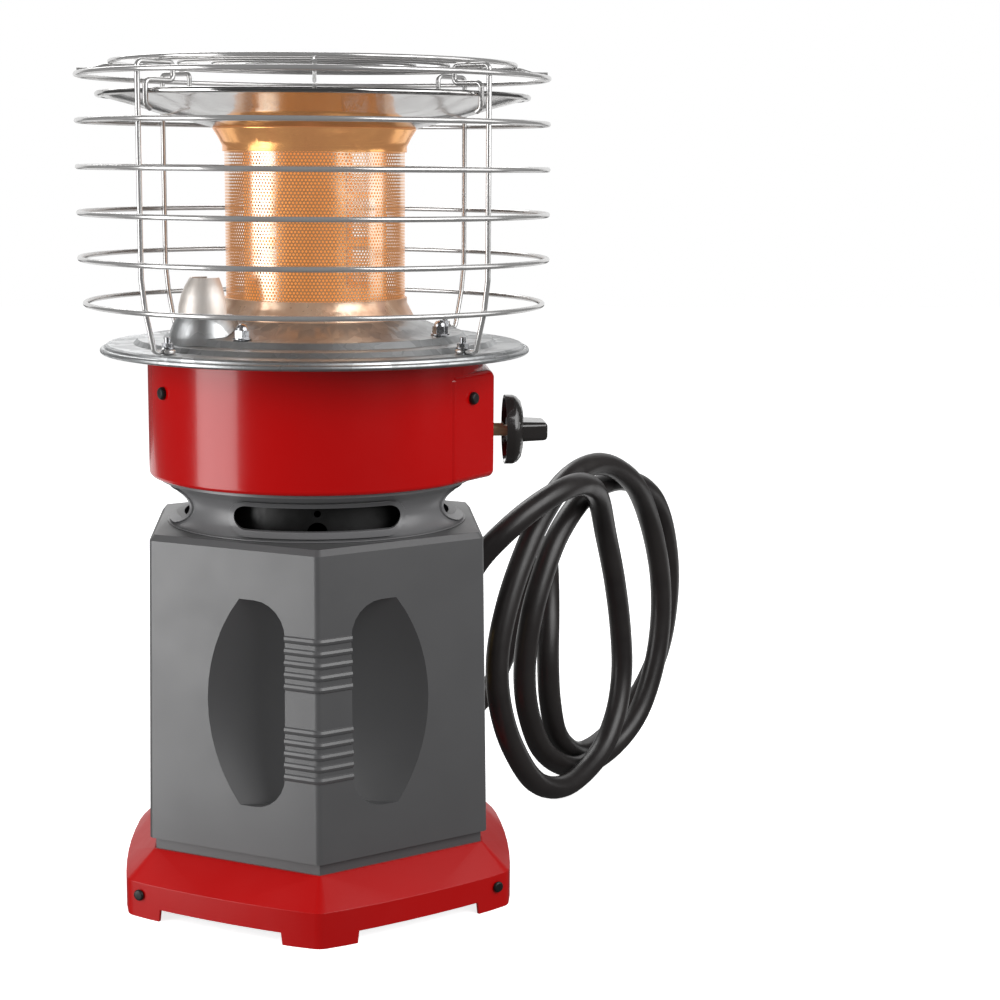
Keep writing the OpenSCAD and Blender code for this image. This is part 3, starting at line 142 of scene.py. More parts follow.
@dataclass(frozen=True)
class Finish:
    """One surface finish.

    Attributes:
        name: what the real material is.
        slot: the record's material slot.
        colour: its main colour, in sRGB hex.
        stain: the colour that slow stains and handling give it.
        grain: how its relief was made.
        grain_mm: the size of the relief's pattern, as coarse as it needs to show.
        relief_mm: how deep the relief is.
        stain_mm: the size of the slow stains.
        stain_share: how much of the stain colour shows, from 0 to 1.
        roughness: the middle of its roughness.
        spread: how far the roughness strays from the middle.
        metallic: 1 for bare metal.
        coat: the strength of a clear gloss over it.
        coat_roughness: the roughness of that gloss.
        ior: its index of refraction, for what isn't metal.
        specular: how strong its reflections are, for what isn't metal; 0.5 is usual.
    """

    name: str
    slot: str
    colour: str
    stain: str
    grain: Grain = Grain.EVEN
    grain_mm: float = 1.0
    relief_mm: float = 0.01
    stain_mm: float = 45.0
    stain_share: float = 0.25
    roughness: float = 0.4
    spread: float = 0.06
    metallic: float = 0.0
    coat: float = 0.0
    coat_roughness: float = 0.05
    ior: float = 1.5
    specular: float = 0.5

    def material(self) -> bpy.types.Material:
        """Builds the finish's material, or finds it once it is made.

        Returns:
            The material.
        """
        known = bpy.data.materials.get(self.name)
        if known:
            return known
        made = bpy.data.materials.new(self.name)
        made.use_nodes = True
        tree = made.node_tree
        tree.nodes.clear()
        place = add(tree, "ShaderNodeTexCoord").outputs["Object"]
        colour, roughness = self.body_of(tree, place)
        shader = add(tree, "ShaderNodeBsdfPrincipled", {
            "Base Color": colour, "Roughness": roughness, "Normal": self.relief(tree, place),
            "Metallic": self.metallic, "IOR": self.ior, "Coat Weight": self.coat,
            "Coat Roughness": self.coat_roughness, "Specular IOR Level": self.specular})
        self.glow(shader)
        add(tree, "ShaderNodeOutputMaterial", {"Surface": shader})
        return made

    def noise(self, tree: Tree, place: Source, size_mm: float, detail: float) -> Source:
        """Returns a noise pattern whose features are about size_mm across."""
        return add(tree, "ShaderNodeTexNoise", {
            "Vector": place, "Scale": NOISE_FEATURE / (size_mm * MM), "Detail": detail,
            "Roughness": NOISE_ROUGHNESS}).outputs["Fac"]

    def spread_of(self, tree: Tree, pattern: Source, low: float, high: float) -> Source:
        """Returns a noise pattern with its middle range stretched to run from low to high."""
        return add(tree, "ShaderNodeMapRange", {
            "Value": pattern, "From Min": NOISE_RANGE[0], "From Max": NOISE_RANGE[1],
            "To Min": low, "To Max": high})

    def worn(self, tree: Tree, place: Source, size_mm: float) -> Source:
        """Returns a roughness that strays from its middle in patches about size_mm across."""
        patches = self.noise(tree, place, size_mm, WORN_DETAIL)
        return self.spread_of(
            tree, patches, self.roughness - self.spread, self.roughness + self.spread)

    def stained(self, tree: Tree, share: Source) -> Source:
        """Returns the main colour with a share of the stain colour in it."""
        return add(tree, "ShaderNodeMix", {
            "Factor": share, "A": shade(self.colour), "B": shade(self.stain)},
            data_type="RGBA").outputs["Result"]

    def body_of(self, tree: Tree, place: Source) -> tuple[Source, Source]:
        """Builds the colour and the roughness.

        Args:
            tree: the material's tree.
            place: the point on the object.

        Returns:
            The colour and the roughness.
        """
        slow = self.noise(tree, place, self.stain_mm, FINE_DETAIL)
        share = self.spread_of(tree, slow, 0.0, self.stain_share)
        return self.stained(tree, share), self.worn(tree, place, self.stain_mm * WORN_SHARE)

    def relief(self, tree: Tree, place: Source) -> Source:
        """Builds the bumped normal of the finish's grain.

        Args:
            tree: the material's tree.
            place: the point on the object.

        Returns:
            The normal.
        """
        if self.grain is Grain.SPUN:
            place = add(tree, "ShaderNodeMapping", {"Vector": place, "Scale": SPUN_STRETCH})
        detail = 0.0 if self.grain is Grain.ORANGE_PEEL else FINE_DETAIL
        pattern = self.noise(tree, place, self.grain_mm, detail)
        return add(tree, "ShaderNodeBump", {
            "Height": pattern, "Strength": 1.0, "Distance": self.relief_mm * MM})

    def glow(self, shader: bpy.types.Node) -> None:
        """Adds the light that the surface gives off; a cold finish has none."""


@dataclass(frozen=True)
class Galvanised(Finish):
    """Hot-dipped zinc on sheet steel: a patchwork of crystals, each a little lighter or duller.

    Attributes:
        spangle_mm: the width of a crystal.
        waver_mm: how far a crystal's outline strays.
        waver_scale: the scale of the noise that bends the outlines.
    """

    spangle_mm: float = 9.0
    waver_mm: float = 6.0
    waver_scale: float = 90.0

    def body_of(self, tree: Tree, place: Source) -> tuple[Source, Source]:
        """Mixes the colour and the roughness from crystal to crystal.

        Args:
            tree: the material's tree.
            place: the point on the object.

        Returns:
            The colour and the roughness.
        """
        bent = add(tree, "ShaderNodeTexNoise", {
            "Vector": place, "Scale": self.waver_scale, "Detail": SOFT_DETAIL})
        waver = add(tree, "ShaderNodeVectorMath", {
            0: bent.outputs["Color"], 1: (self.waver_mm * MM,) * 3}, operation="MULTIPLY")
        moved = add(tree, "ShaderNodeVectorMath", {0: place, 1: waver}, operation="ADD")
        cells = add(tree, "ShaderNodeTexVoronoi", {
            "Vector": moved, "Scale": 1 / (self.spangle_mm * MM)})
        tone = add(tree, "ShaderNodeSeparateColor", {"Color": cells.outputs["Color"]})
        smear = self.spread_of(
            tree, self.noise(tree, place, self.stain_mm, WORN_DETAIL), 0.0, 1.0)
        both = add(tree, "ShaderNodeMath", {0: tone, 1: smear}, operation="MULTIPLY")
        roughness = add(tree, "ShaderNodeMapRange", {
            "Value": both, "To Min": self.roughness - self.spread,
            "To Max": self.roughness + self.spread})
        return self.stained(tree, both), roughness


@dataclass(frozen=True, kw_only=True)
class HeatTinted(Finish):
    """Stainless sheet with heat's oxide colours in clouds and upright runs, giving off light: the
    hot metal's own glow on the burner's screen and cage, a painted glow on the skirt and flare.

    The main colour is the sheet where it stayed coolest, and the stain is the oxide of its hottest
    spots.

    Attributes:
        straw: the oxide next to the main colour.
        bronze: the oxide next to the stain.
        marks: the values of the cloud pattern at stain, bronze, straw and main colour.
        swirl: how far the clouds are bent.
        glow_colour: the light that it gives off.
        glow_strength: how strong that light is.
    """

    straw: str
    bronze: str
    marks: tuple[float, float, float, float] = (0.3, 0.42, 0.56, 0.72)
    swirl: float = 1.2
    glow_colour: str
    glow_strength: float

    def body_of(self, tree: Tree, place: Source) -> tuple[Source, Source]:
        """Runs the oxide colours through soft clouds that are drawn out upwards.

        Args:
            tree: the material's tree.
            place: the point on the object.

        Returns:
            The colour and the roughness.
        """
        tall = add(tree, "ShaderNodeMapping", {"Vector": place, "Scale": UPRIGHT_STRETCH})
        cloud = add(tree, "ShaderNodeTexNoise", {
            "Vector": tall, "Scale": NOISE_FEATURE / (self.stain_mm * MM),
            "Detail": FINE_DETAIL, "Distortion": self.swirl})
        ramp = add(tree, "ShaderNodeValToRGB", {"Fac": cloud.outputs["Fac"]})
        stops = ramp.color_ramp.elements
        stops[0].position, stops[1].position = self.marks[0], self.marks[3]
        stops[0].color, stops[1].color = shade(self.stain), shade(self.colour)
        for position, code in zip(self.marks[1:3], (self.bronze, self.straw)):
            stops.new(position).color = shade(code)
        return ramp.outputs["Color"], self.worn(tree, place, self.stain_mm / 2)

    def glow(self, shader: bpy.types.Node) -> None:
        """Gives the sheet its dull orange light: the hot metal's own on the screen and cage, a
        painted glow on the skirt and flare.
        """
        shader.inputs["Emission Color"].default_value = shade(self.glow_colour)
        shader.inputs["Emission Strength"].default_value = self.glow_strength


# Polyester enamel on pressed steel: even, wet-looking gloss with a faint orange peel.
RED_ENAMEL = Finish(
    name="red_gloss_enamel", slot="red_paint", colour="B40202", stain="A60202",
    grain=Grain.ORANGE_PEEL, grain_mm=3.0, relief_mm=0.006, stain_share=0.3,
    roughness=0.2, spread=0.015, coat=0.22, coat_roughness=0.06, specular=0.42)
# The same red, powder-coated on the base: a softer shine that doesn't mirror its surroundings.
RED_POWDER = Finish(
    name="red_powder_coat", slot="red_paint", colour="B40404", stain="A60303",
    grain=Grain.ORANGE_PEEL, grain_mm=2.2, relief_mm=0.01, stain_share=0.3,
    roughness=0.34, spread=0.03, specular=0.34)
# Polypropylene, moulded in a finely grained tool: a soft satin that shows flow clouds.
GREY_MOULDING = Finish(
    name="grey_moulded_polypropylene", slot="grey_moulding", colour="525253", stain="4B4B4C",
    grain_mm=0.8, relief_mm=0.02, stain_mm=70, stain_share=0.5,
    roughness=0.38, spread=0.04, specular=0.8)
# The collar's grey polypropylene, painted a shade paler than the housing's as painted light,
# standing in for the light that the floor throws up on it, and a little shinier.
COLLAR_GREY_WITH_PAINTED_LIGHT = Finish(
    name="grey_polypropylene_with_painted_bounce_light", slot="grey_moulding", colour="707071", stain="68686A",
    grain_mm=0.8, relief_mm=0.02, stain_mm=50, stain_share=0.5,
    roughness=0.36, spread=0.04, specular=0.8)
# Bright chromium on drawn wire with slight drawing marks: only partly a mirror, with a pale grey
# diffuse share that is a painted reflection of the bright floor round it.
CHROME_WIRE_WITH_PAINTED_REFLECTION = Finish(
    name="chromed_wire_with_painted_reflection", slot="chrome_wire", colour="D2D1D0", stain="B4B3B3",
    grain_mm=2.0, relief_mm=0.004, roughness=0.18, spread=0.04, metallic=0.68)
# Bright-annealed stainless, spun to a dish: a mirror with rings left by the tool.
POLISHED_STEEL = Finish(
    name="polished_stainless_steel", slot="polished_steel", colour="C6C5C4", stain="AEACAA",
    grain=Grain.SPUN, grain_mm=6.0, relief_mm=0.02, stain_share=0.4, roughness=0.13, spread=0.06,
    metallic=1.0)
# Stainless sheet of the pilot's bell: satin from the press, with a slight warm tint.
SATIN_STAINLESS = Finish(
    name="satin_stainless_sheet", slot="polished_steel", colour="E4DED8", stain="CFC3B8",
    grain_mm=3.0, relief_mm=0.01, stain_mm=14, stain_share=0.6, roughness=0.44, spread=0.06,
    metallic=0.6)
# Hot-dipped galvanised sheet: cloudy crystals and duller smears.
GALVANISED_SHEET = Galvanised(
    name="galvanised_sheet_steel", slot="galvanised", colour="C8CACB", stain="8E9092",
    grain_mm=4.0, relief_mm=0.01, stain_mm=28, roughness=0.46, spread=0.1, metallic=1.0)
# Zinc-plated fixings: bright with a faint bluish cloud.
ZINC_STEEL = Finish(
    name="zinc_plated_steel", slot="zinc_steel", colour="C4C5C8", stain="A9ABB2",
    grain_mm=0.6, relief_mm=0.004, stain_mm=8, roughness=0.26, spread=0.08, metallic=1.0)
# Phosphated and oiled screws and sleeve: near black, softly shining.
BLACK_STEEL = Finish(
    name="black_phosphated_steel", slot="black_steel", colour="121212", stain="201F1E",
    grain_mm=0.8, relief_mm=0.008, stain_mm=10, roughness=0.42, spread=0.08)
# Glossy phenolic knob: deep black with fine handling haze.
GLOSS_BLACK = Finish(
    name="black_phenolic", slot="gloss_black", colour="262423", stain="33302F",
    grain_mm=1.5, relief_mm=0.003, stain_mm=14, roughness=0.18, spread=0.06,
    coat=0.6, coat_roughness=0.08)
# Glass-filled nylon: dull black with a fine grain.
BLACK_PLASTIC = Finish(
    name="black_glass_filled_nylon", slot="black_plastic", colour="171717", stain="222222",
    grain_mm=0.6, relief_mm=0.02, stain_mm=14, roughness=0.48)
# Forged and turned brass: warm yellow with browner tarnish.
BRASS = Finish(
    name="machined_brass", slot="brass", colour="D2B26A", stain="A5834A",
    grain_mm=0.5, relief_mm=0.004, stain_mm=9, stain_share=0.6, roughness=0.28, spread=0.08,
    metallic=1.0)
# Brass of the valve stem, painted pale and only partly metallic, so that its colour stands in for
# the bright highlight along the thin stem: lighter and softer in its shine.
STEM_BRASS_WITH_PAINTED_HIGHLIGHT = Finish(
    name="pale_brass_with_painted_highlight", slot="brass", colour="E6DCB4", stain="CBB982",
    grain_mm=0.5, relief_mm=0.004, stain_mm=9, stain_share=0.5, roughness=0.36, spread=0.06,
    metallic=0.4)
# Drawn aluminium tube: pale, slightly rubbed.
ALUMINIUM_TUBE = Finish(
    name="aluminium_tube", slot="aluminium_tube", colour="C8C9CB", stain="ABADB0",
    grain_mm=0.8, relief_mm=0.005, roughness=0.34, metallic=1.0)
# Powder-coated zinc casting: grey, slightly pebbled.
GREY_CASTING = Finish(
    name="powder_coated_zinc_casting", slot="grey_casting", colour="74777A", stain="66696C",
    grain_mm=1.2, relief_mm=0.05, roughness=0.42)
# Glazed alumina: off-white and glassy.
CERAMIC = Finish(
    name="glazed_alumina", slot="ceramic", colour="E6E0D2", stain="CDBFA6",
    grain_mm=2.0, relief_mm=0.004, stain_mm=6, roughness=0.2, coat=0.4)
# Extruded nitrile hose cover: black, softly shining, with a dusty bloom.
HOSE_RUBBER = Finish(
    name="black_nitrile_hose_cover", slot="hose_rubber", colour="211E1E", stain="302D2C",
    grain_mm=1.4, relief_mm=0.03, stain_mm=30, stain_share=0.7, roughness=0.36, spread=0.06)
# Stainless skirt under the burner: brownish heat colours on bright metal, with a faint painted
# glow that stands in for the burner's light on it.
SKIRT_SHEET_WITH_PAINTED_GLOW = HeatTinted(
    name="heat_tinted_skirt_with_painted_glow", slot="heated_steel", colour="D9CABC", straw="CCB29A",
    bronze="B49076", stain="947464", stain_mm=22, grain_mm=14.0, relief_mm=0.4,
    roughness=0.3, spread=0.06, metallic=0.7, glow_colour="ECC0A0", glow_strength=0.2)
# Stainless flare over the burner: straw and orange heat colours, still shiny, with a painted
# orange glow that stands in for the burner's light on it.
FLARE_SHEET_WITH_PAINTED_GLOW = HeatTinted(
    name="heat_tinted_flare_with_painted_glow", slot="heated_steel", colour="E6BE84", straw="DDA766",
    bronze="C08050", stain="94603E", stain_mm=34, grain_mm=16.0, relief_mm=0.25,
    roughness=0.2, spread=0.07, metallic=1.0, glow_colour="FFB478", glow_strength=0.32)
# Perforated stainless of the burner: bronze all over and faintly alight.
HOT_SCREEN = HeatTinted(
    name="glowing_perforated_stainless", slot="heated_steel", colour="C8C0B4", straw="BEB2A0",
    bronze="AC9880", stain="987C64", stain_mm=30, grain_mm=2.0, relief_mm=0.004,
    roughness=0.2, spread=0.04, metallic=1.0, glow_colour="FFAC68", glow_strength=0.34)
# Inner cage of the burner: the hottest sheet, bright orange.
HOT_CAGE = HeatTinted(
    name="glowing_inner_cage", slot="heated_steel", colour="E8B070", straw="DD9A4C",
    bronze="C27830", stain="A8622E", stain_mm=30, grain_mm=2.0, relief_mm=0.005,
    roughness=0.4, spread=0.06, metallic=0.6, glow_colour="FFB266", glow_strength=0.45)


# ---------------------------------------------------------------- mesh tools
SAME_POINT_MM = 0.004  # points of a CAD mesh this close are one
FLAT_DEG = 0.6  # CAD faces that turn by less than this are one flat
FLAT_WEIGHT = 80  # how far large faces win where normals are averaged
LONGEST_BEND = 0.45  # a bend takes up at most this share of each leg


@dataclass(frozen=True)
class Edge:
    """How a part's edges are softened.

    Attributes:
        width_mm: the width of a broken edge; 0 leaves it sharp.
        from_deg: the angle past which an edge counts as one.
        segments: faces across a broken edge.
    """

    width_mm: float
    from_deg: float = 32
    segments: int = 2


SHARP = Edge(0)
SMALL_PART = Edge(0.3)


def rounded(points: list[Point], radius: float, steps: int = 5) -> list[Vector]:
    """Rounds the inner corners of a path.

    Args:
        points: the path's corners.
        radius: the bend radius at each corner.
        steps: pieces in each bend.

    Returns:
        The path with its bends.
    """
    corners = [Vector(p) for p in points]
    path = [corners[0]]
    for a, b, c in zip(corners, corners[1:], corners[2:]):
        u = (a - b).normalized()
        w = (c - b).normalized()
        half = math.acos(max(-1.0, min(1.0, u.dot(w)))) / 2
        leg = min((a - b).length, (c - b).length)
        reach = min(radius / math.tan(half), LONGEST_BEND * leg)
        bend = reach * math.tan(half)
        middle = b + (u + w).normalized() * bend / math.sin(half)
        for i in range(steps + 1):
            share = i / steps
            arm = (b + u * reach - middle) * (1 - share) + (b + w * reach - middle) * share
            path.append(middle + arm.normalized() * bend)
    path.append(corners[-1])
    return path


def through(points: list[Point], steps: int) -> list[Vector]:
    """Runs a smooth curve through points, with steps from each to the next.

    Args:
        points: the points of the route.
        steps: pieces between two points.

    Returns:
        The points of the curve.
    """
    p = [Vector(q) for q in points]
    path = []
    for i in range(len(p) - 1):
        a, b, c, d = p[max(i - 1, 0)], p[i], p[i + 1], p[min(i + 2, len(p) - 1)]
        for j in range(steps):
            t = j / steps
            path.append(0.5 * (2 * b + (c - a) * t + (2 * a - 5 * b + 4 * c - d) * t * t
                               + (3 * b - a - 3 * c + d) * t ** 3))
    path.append(p[-1])
    return path


def placed(mesh: bpy.types.Mesh, name: str, finish: Finish, body: str, *nodes: str) -> None:
    """Makes a finished mesh a piece that rides on a body.

    Args:
        mesh: the piece's mesh, already where it belongs.
        name: the piece's name.
        finish: its finish.
        body: the body that it moves with.
        nodes: the CAD nodes that it stands for.
    """
    piece = bpy.data.objects.new(name, mesh)
    bpy.context.scene.collection.objects.link(piece)
    mesh.materials.clear()
    mesh.materials.append(finish.material())
    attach(piece, body)
    if nodes:
        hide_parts(*nodes)
    LOG.info("%s: %d faces, rides on %s", name, len(mesh.polygons), body)


def fixed_mesh(piece: bpy.types.Object, name: str) -> bpy.types.Mesh:
    """Turns an object with its modifiers into a plain mesh and removes the object.

    Args:
        piece: the object with live modifiers.
        name: the name of the new mesh.

    Returns:
        The plain mesh.
    """
    evaluated = piece.evaluated_get(bpy.context.evaluated_depsgraph_get())
    mesh = bpy.data.meshes.new_from_object(evaluated)
    mesh.name = name
    bpy.data.objects.remove(piece)
    return mesh


def scratch(mesh: bpy.types.Mesh) -> bpy.types.Object:
    """Makes a passing object for a mesh that still gets modifiers.

    Args:
        mesh: the mesh.

    Returns:
        The object.
    """
    made = bpy.data.objects.new("scratch", mesh)
    bpy.context.scene.collection.objects.link(made)
    return made


def refined(node: str, name: str, finish: Finish, edge: Edge) -> None:
    """Dresses a merged copy of a CAD node: smooth where it curves, with softly broken edges.

    Args:
        node: the CAD node.
        name: the name of the piece that stands for it.
        finish: its finish.
        edge: how its edges are softened.
    """
    source = frame["nodes"][node]
    mesh = source.data.copy()
    work = bmesh.new()
    work.from_mesh(mesh)
    bmesh.ops.remove_doubles(work, verts=work.verts, dist=SAME_POINT_MM * MM)
    bmesh.ops.dissolve_limit(
        work, angle_limit=math.radians(FLAT_DEG), verts=work.verts, edges=work.edges)
    work.to_mesh(mesh)
    work.free()
    if mesh.has_custom_normals:
        mesh.attributes.remove(mesh.attributes["custom_normal"])
    copy = scratch(mesh)
    if edge.width_mm > 0:
        bevel = copy.modifiers.new("broken edges", "BEVEL")
        bevel.width = edge.width_mm * MM
        bevel.segments = edge.segments
        bevel.limit_method = "ANGLE"
        bevel.angle_limit = math.radians(edge.from_deg)
    mesh.shade_smooth()
    mesh.set_sharp_from_angle(angle=math.radians(edge.from_deg))
    weighted = copy.modifiers.new("flat faces stay flat", "WEIGHTED_NORMAL")
    weighted.keep_sharp = True
    weighted.weight = FLAT_WEIGHT
    placed(fixed_mesh(copy, name), name, finish, source["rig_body"], node)


def kept(node: str, finish: Finish) -> None:
    """Gives a CAD node that stays its material.

    Args:
        node: the CAD node.
        finish: its finish.
    """
    piece = frame["nodes"][node]
    piece.data.materials.clear()
    piece.data.materials.append(finish.material())
    LOG.info("%s: the CAD solid stays, as %s", node, finish.name)


def node_group(name: str, inputs: dict[str, type]) -> Tree:
    """Starts a Geometry Nodes tree with named inputs.

    Args:
        name: the tree's name.
        inputs: input name to the kind of its value, int or float.

    Returns:
        The tree, with its group input node first.
    """
    tree = bpy.data.node_groups.new(name, "GeometryNodeTree")
    for way in ("INPUT", "OUTPUT"):
        tree.interface.new_socket("Geometry", in_out=way, socket_type="NodeSocketGeometry")
    for label, kind in inputs.items():
        tree.interface.new_socket(
            label, in_out="INPUT", socket_type=f"NodeSocket{kind.__name__.capitalize()}")
    add(tree, "NodeGroupInput")
    return tree


def finish_group(tree: Tree, shape: Source, finish: Finish) -> None:
    """Ends a Geometry Nodes tree in Realize Instances and Set Material.

    Args:
        tree: the tree.
        shape: the geometry so far.
        finish: the finish of the result.
    """
    real = add(tree, "GeometryNodeRealizeInstances", {"Geometry": shape})
    smooth = add(tree, "GeometryNodeSetShadeSmooth", {"Geometry": real})
    dressed = add(tree, "GeometryNodeSetMaterial", {
        "Geometry": smooth, "Material": finish.material()})
    add(tree, "NodeGroupOutput", {0: dressed})


def grown(mesh: bpy.types.Mesh, tree: Tree, sizes: dict[str, float | int],
          name: str) -> bpy.types.Mesh:
    """Runs a Geometry Nodes tree on a mesh and returns the plain result.

    Args:
        mesh: what the tree starts from.
        tree: the tree.
        sizes: the values of its named inputs.
        name: the name of the result.

    Returns:
        The plain mesh.
    """
    holder = scratch(mesh)
    modifier = holder.modifiers.new("pattern", "NODES")
    modifier.node_group = tree
    for item in tree.interface.items_tree:
        if item.in_out == "INPUT" and item.name in sizes:
            modifier[item.identifier] = sizes[item.name]
    return fixed_mesh(holder, name)


def path_mesh(path: list[Vector]) -> bpy.types.Mesh:
    """Makes a mesh of edges along a path.

    Args:
        path: the points that the edges join.

    Returns:
        The mesh.
    """
    mesh = bpy.data.meshes.new("path")
    mesh.from_pydata(path, [(i, i + 1) for i in range(len(path) - 1)], [])
    return mesh


# ---------------------------------------------------------------- camera, light and floor
PAGE_WATTS = 4.0  # power of one square metre of a light that is as bright as a lit page


@dataclass(frozen=True)
class Softbox:
    """One soft light, placed round the heater and facing its axis.

    Attributes:
        name: what a studio calls it.
        left_deg: how far it stands to the left of the front grip corner, seen from above.
        distance: from the axis to the light.
        height: of its middle over the floor.
        aim: the height on the axis that it looks at; a great height turns its face straight up.
        width: its width.
        tall: its height from edge to edge.
        radiance: how bright its face is; a white page in full light is 1.
    """

    name: str
    left_deg: float
    distance: float
    height: float
    aim: float
    width: float
    tall: float
    radiance: float

    def place(self) -> None:
        """Adds the light to the scene."""
        data = bpy.data.lights.new(self.name, "AREA")
        data.shape = "RECTANGLE"
        data.size = self.width
        data.size_y = self.tall
        data.energy = PAGE_WATTS * self.width * self.tall * self.radiance
        turn = math.radians(self.left_deg)
        at = Vector((
            -math.sin(turn) * self.distance, -math.cos(turn) * self.distance, self.height))
        facing = (Vector((0, 0, self.aim)) - at).to_track_quat("-Z", "Y")
        lamp = bpy.data.objects.new(self.name, data)
        lamp.matrix_world = Matrix.Translation(at) @ facing.to_matrix().to_4x4()
        lamp.visible_camera = False
        bpy.context.scene.collection.objects.link(lamp)


@dataclass
class Studio:
    """A pale floor, soft lights and the camera.

    Attributes:
        camera_at: where the camera stands.
        turn_right_deg: how far it turns right from looking along +Y.
        look_down_deg: how far it looks down.
        roll_deg: how far it leans over.
        focal_px: its focal length, in pixels of the image.
        image_px: the image's width.
        sensor_mm: the sensor's width.
        floor_half: half the floor's width.
        floor_roughness: the paper's roughness.
        floor_glow: the paper's own light.
        room_light: the room's even light on dull surfaces.
        room_in_gloss: how bright the room looks in a mirror.
        lights: the soft lights.
    """

    camera_at: Point = (0.0, -1.487, 0.5214)
    turn_right_deg: float = 5.07
    look_down_deg: float = 9.23
    roll_deg: float = 0.43
    focal_px: float = 2087.0
    image_px: float = 1000.0
    sensor_mm: float = 36.0
    floor_half: float = 6.0
    floor_roughness: float = 0.9
    floor_glow: float = 0.78
    room_light: float = 0.3
    room_in_gloss: float = 0.08
    lights: tuple[Softbox, ...] = (
        Softbox("tall key", 68, 1.15, 0.4, 0.38, 0.66, 1.3, 3.5),
        Softbox("high fill", -47, 1.9, 1.3, 0.35, 1.6, 1.6, 3.15),
        Softbox("right strip", -82, 1.15, 0.9, 0.6, 0.5, 1.14, 1.5),
        Softbox("lit floor behind", 180, 1.25, -0.02, 40.0, 2.8, 1.6, 0.66),
        Softbox("back wall", 180, 1.5, 0.86, 0.6, 2.7, 1.12, 0.65),
        Softbox("back top", 165, 1.9, 1.9, 0.3, 1.2, 1.2, 3.0))

    def camera(self) -> None:
        """Places the camera at the product view."""
        turn, down, roll = (math.radians(a) for a in (
            self.turn_right_deg, self.look_down_deg, self.roll_deg))
        ahead = Vector((
            math.sin(turn) * math.cos(down), math.cos(turn) * math.cos(down), -math.sin(down)))
        right = Vector((math.cos(turn), -math.sin(turn), 0))
        up = right.cross(ahead)
        rolled_right = right * math.cos(roll) + up * math.sin(roll)
        rolled_up = up * math.cos(roll) - right * math.sin(roll)
        data = bpy.data.cameras.new("camera")
        data.sensor_width = self.sensor_mm
        data.lens = self.sensor_mm * self.focal_px / self.image_px
        eye = bpy.data.objects.new("camera", data)
        eye.matrix_world = Matrix.Translation(self.camera_at) @ Matrix(
            (rolled_right, rolled_up, -ahead)).transposed().to_4x4()
        bpy.context.scene.collection.objects.link(eye)
        bpy.context.scene.camera = eye

    def floor(self) -> None:
        """Lays the white paper floor, which throws no light back at the heater."""
        half = self.floor_half
        mesh = bpy.data.meshes.new("floor")
        mesh.from_pydata(
            [(-half, -half, 0), (half, -half, 0), (half, half, 0), (-half, half, 0)], [],
            [(0, 1, 2, 3)])
        ground = bpy.data.objects.new("floor", mesh)
        material = bpy.data.materials.new("white_paper")
        material.use_nodes = True
        paper = material.node_tree.nodes["Principled BSDF"].inputs
        paper["Base Color"].default_value = shade("F6F6F6")
        paper["Roughness"].default_value = self.floor_roughness
        paper["Emission Color"].default_value = shade("FFFFFF")
        paper["Emission Strength"].default_value = self.floor_glow
        mesh.materials.append(material)
        ground.visible_glossy = False
        ground.visible_diffuse = False
        ground.visible_shadow = False
        bpy.context.scene.collection.objects.link(ground)

    def world(self) -> None:
        """Gives the room its dim even light, in front of a white background."""
        room = bpy.data.worlds.new("room")
        room.use_nodes = True
        tree = room.node_tree
        path = add(tree, "ShaderNodeLightPath")
        lit = add(tree, "ShaderNodeMapRange", {
            "Value": path.outputs["Is Glossy Ray"], "To Min": self.room_light,
            "To Max": self.room_in_gloss})
        strength = add(tree, "ShaderNodeMapRange", {
            "Value": path.outputs["Is Camera Ray"], "To Min": lit, "To Max": 1.0})
        background = tree.nodes["Background"].inputs
        tree.links.new(strength.outputs[0], background["Strength"])
        background["Color"].default_value = shade("FFFFFF")
        bpy.context.scene.world = room

    def build(self) -> None:
        """Builds the whole set."""
        self.camera()
        self.floor()
        self.world()
        for light in self.lights:
            light.place()
        bpy.context.scene.view_settings.view_transform = "Standard"
        LOG.info("studio: camera, floor and %d lights", len(self.lights))


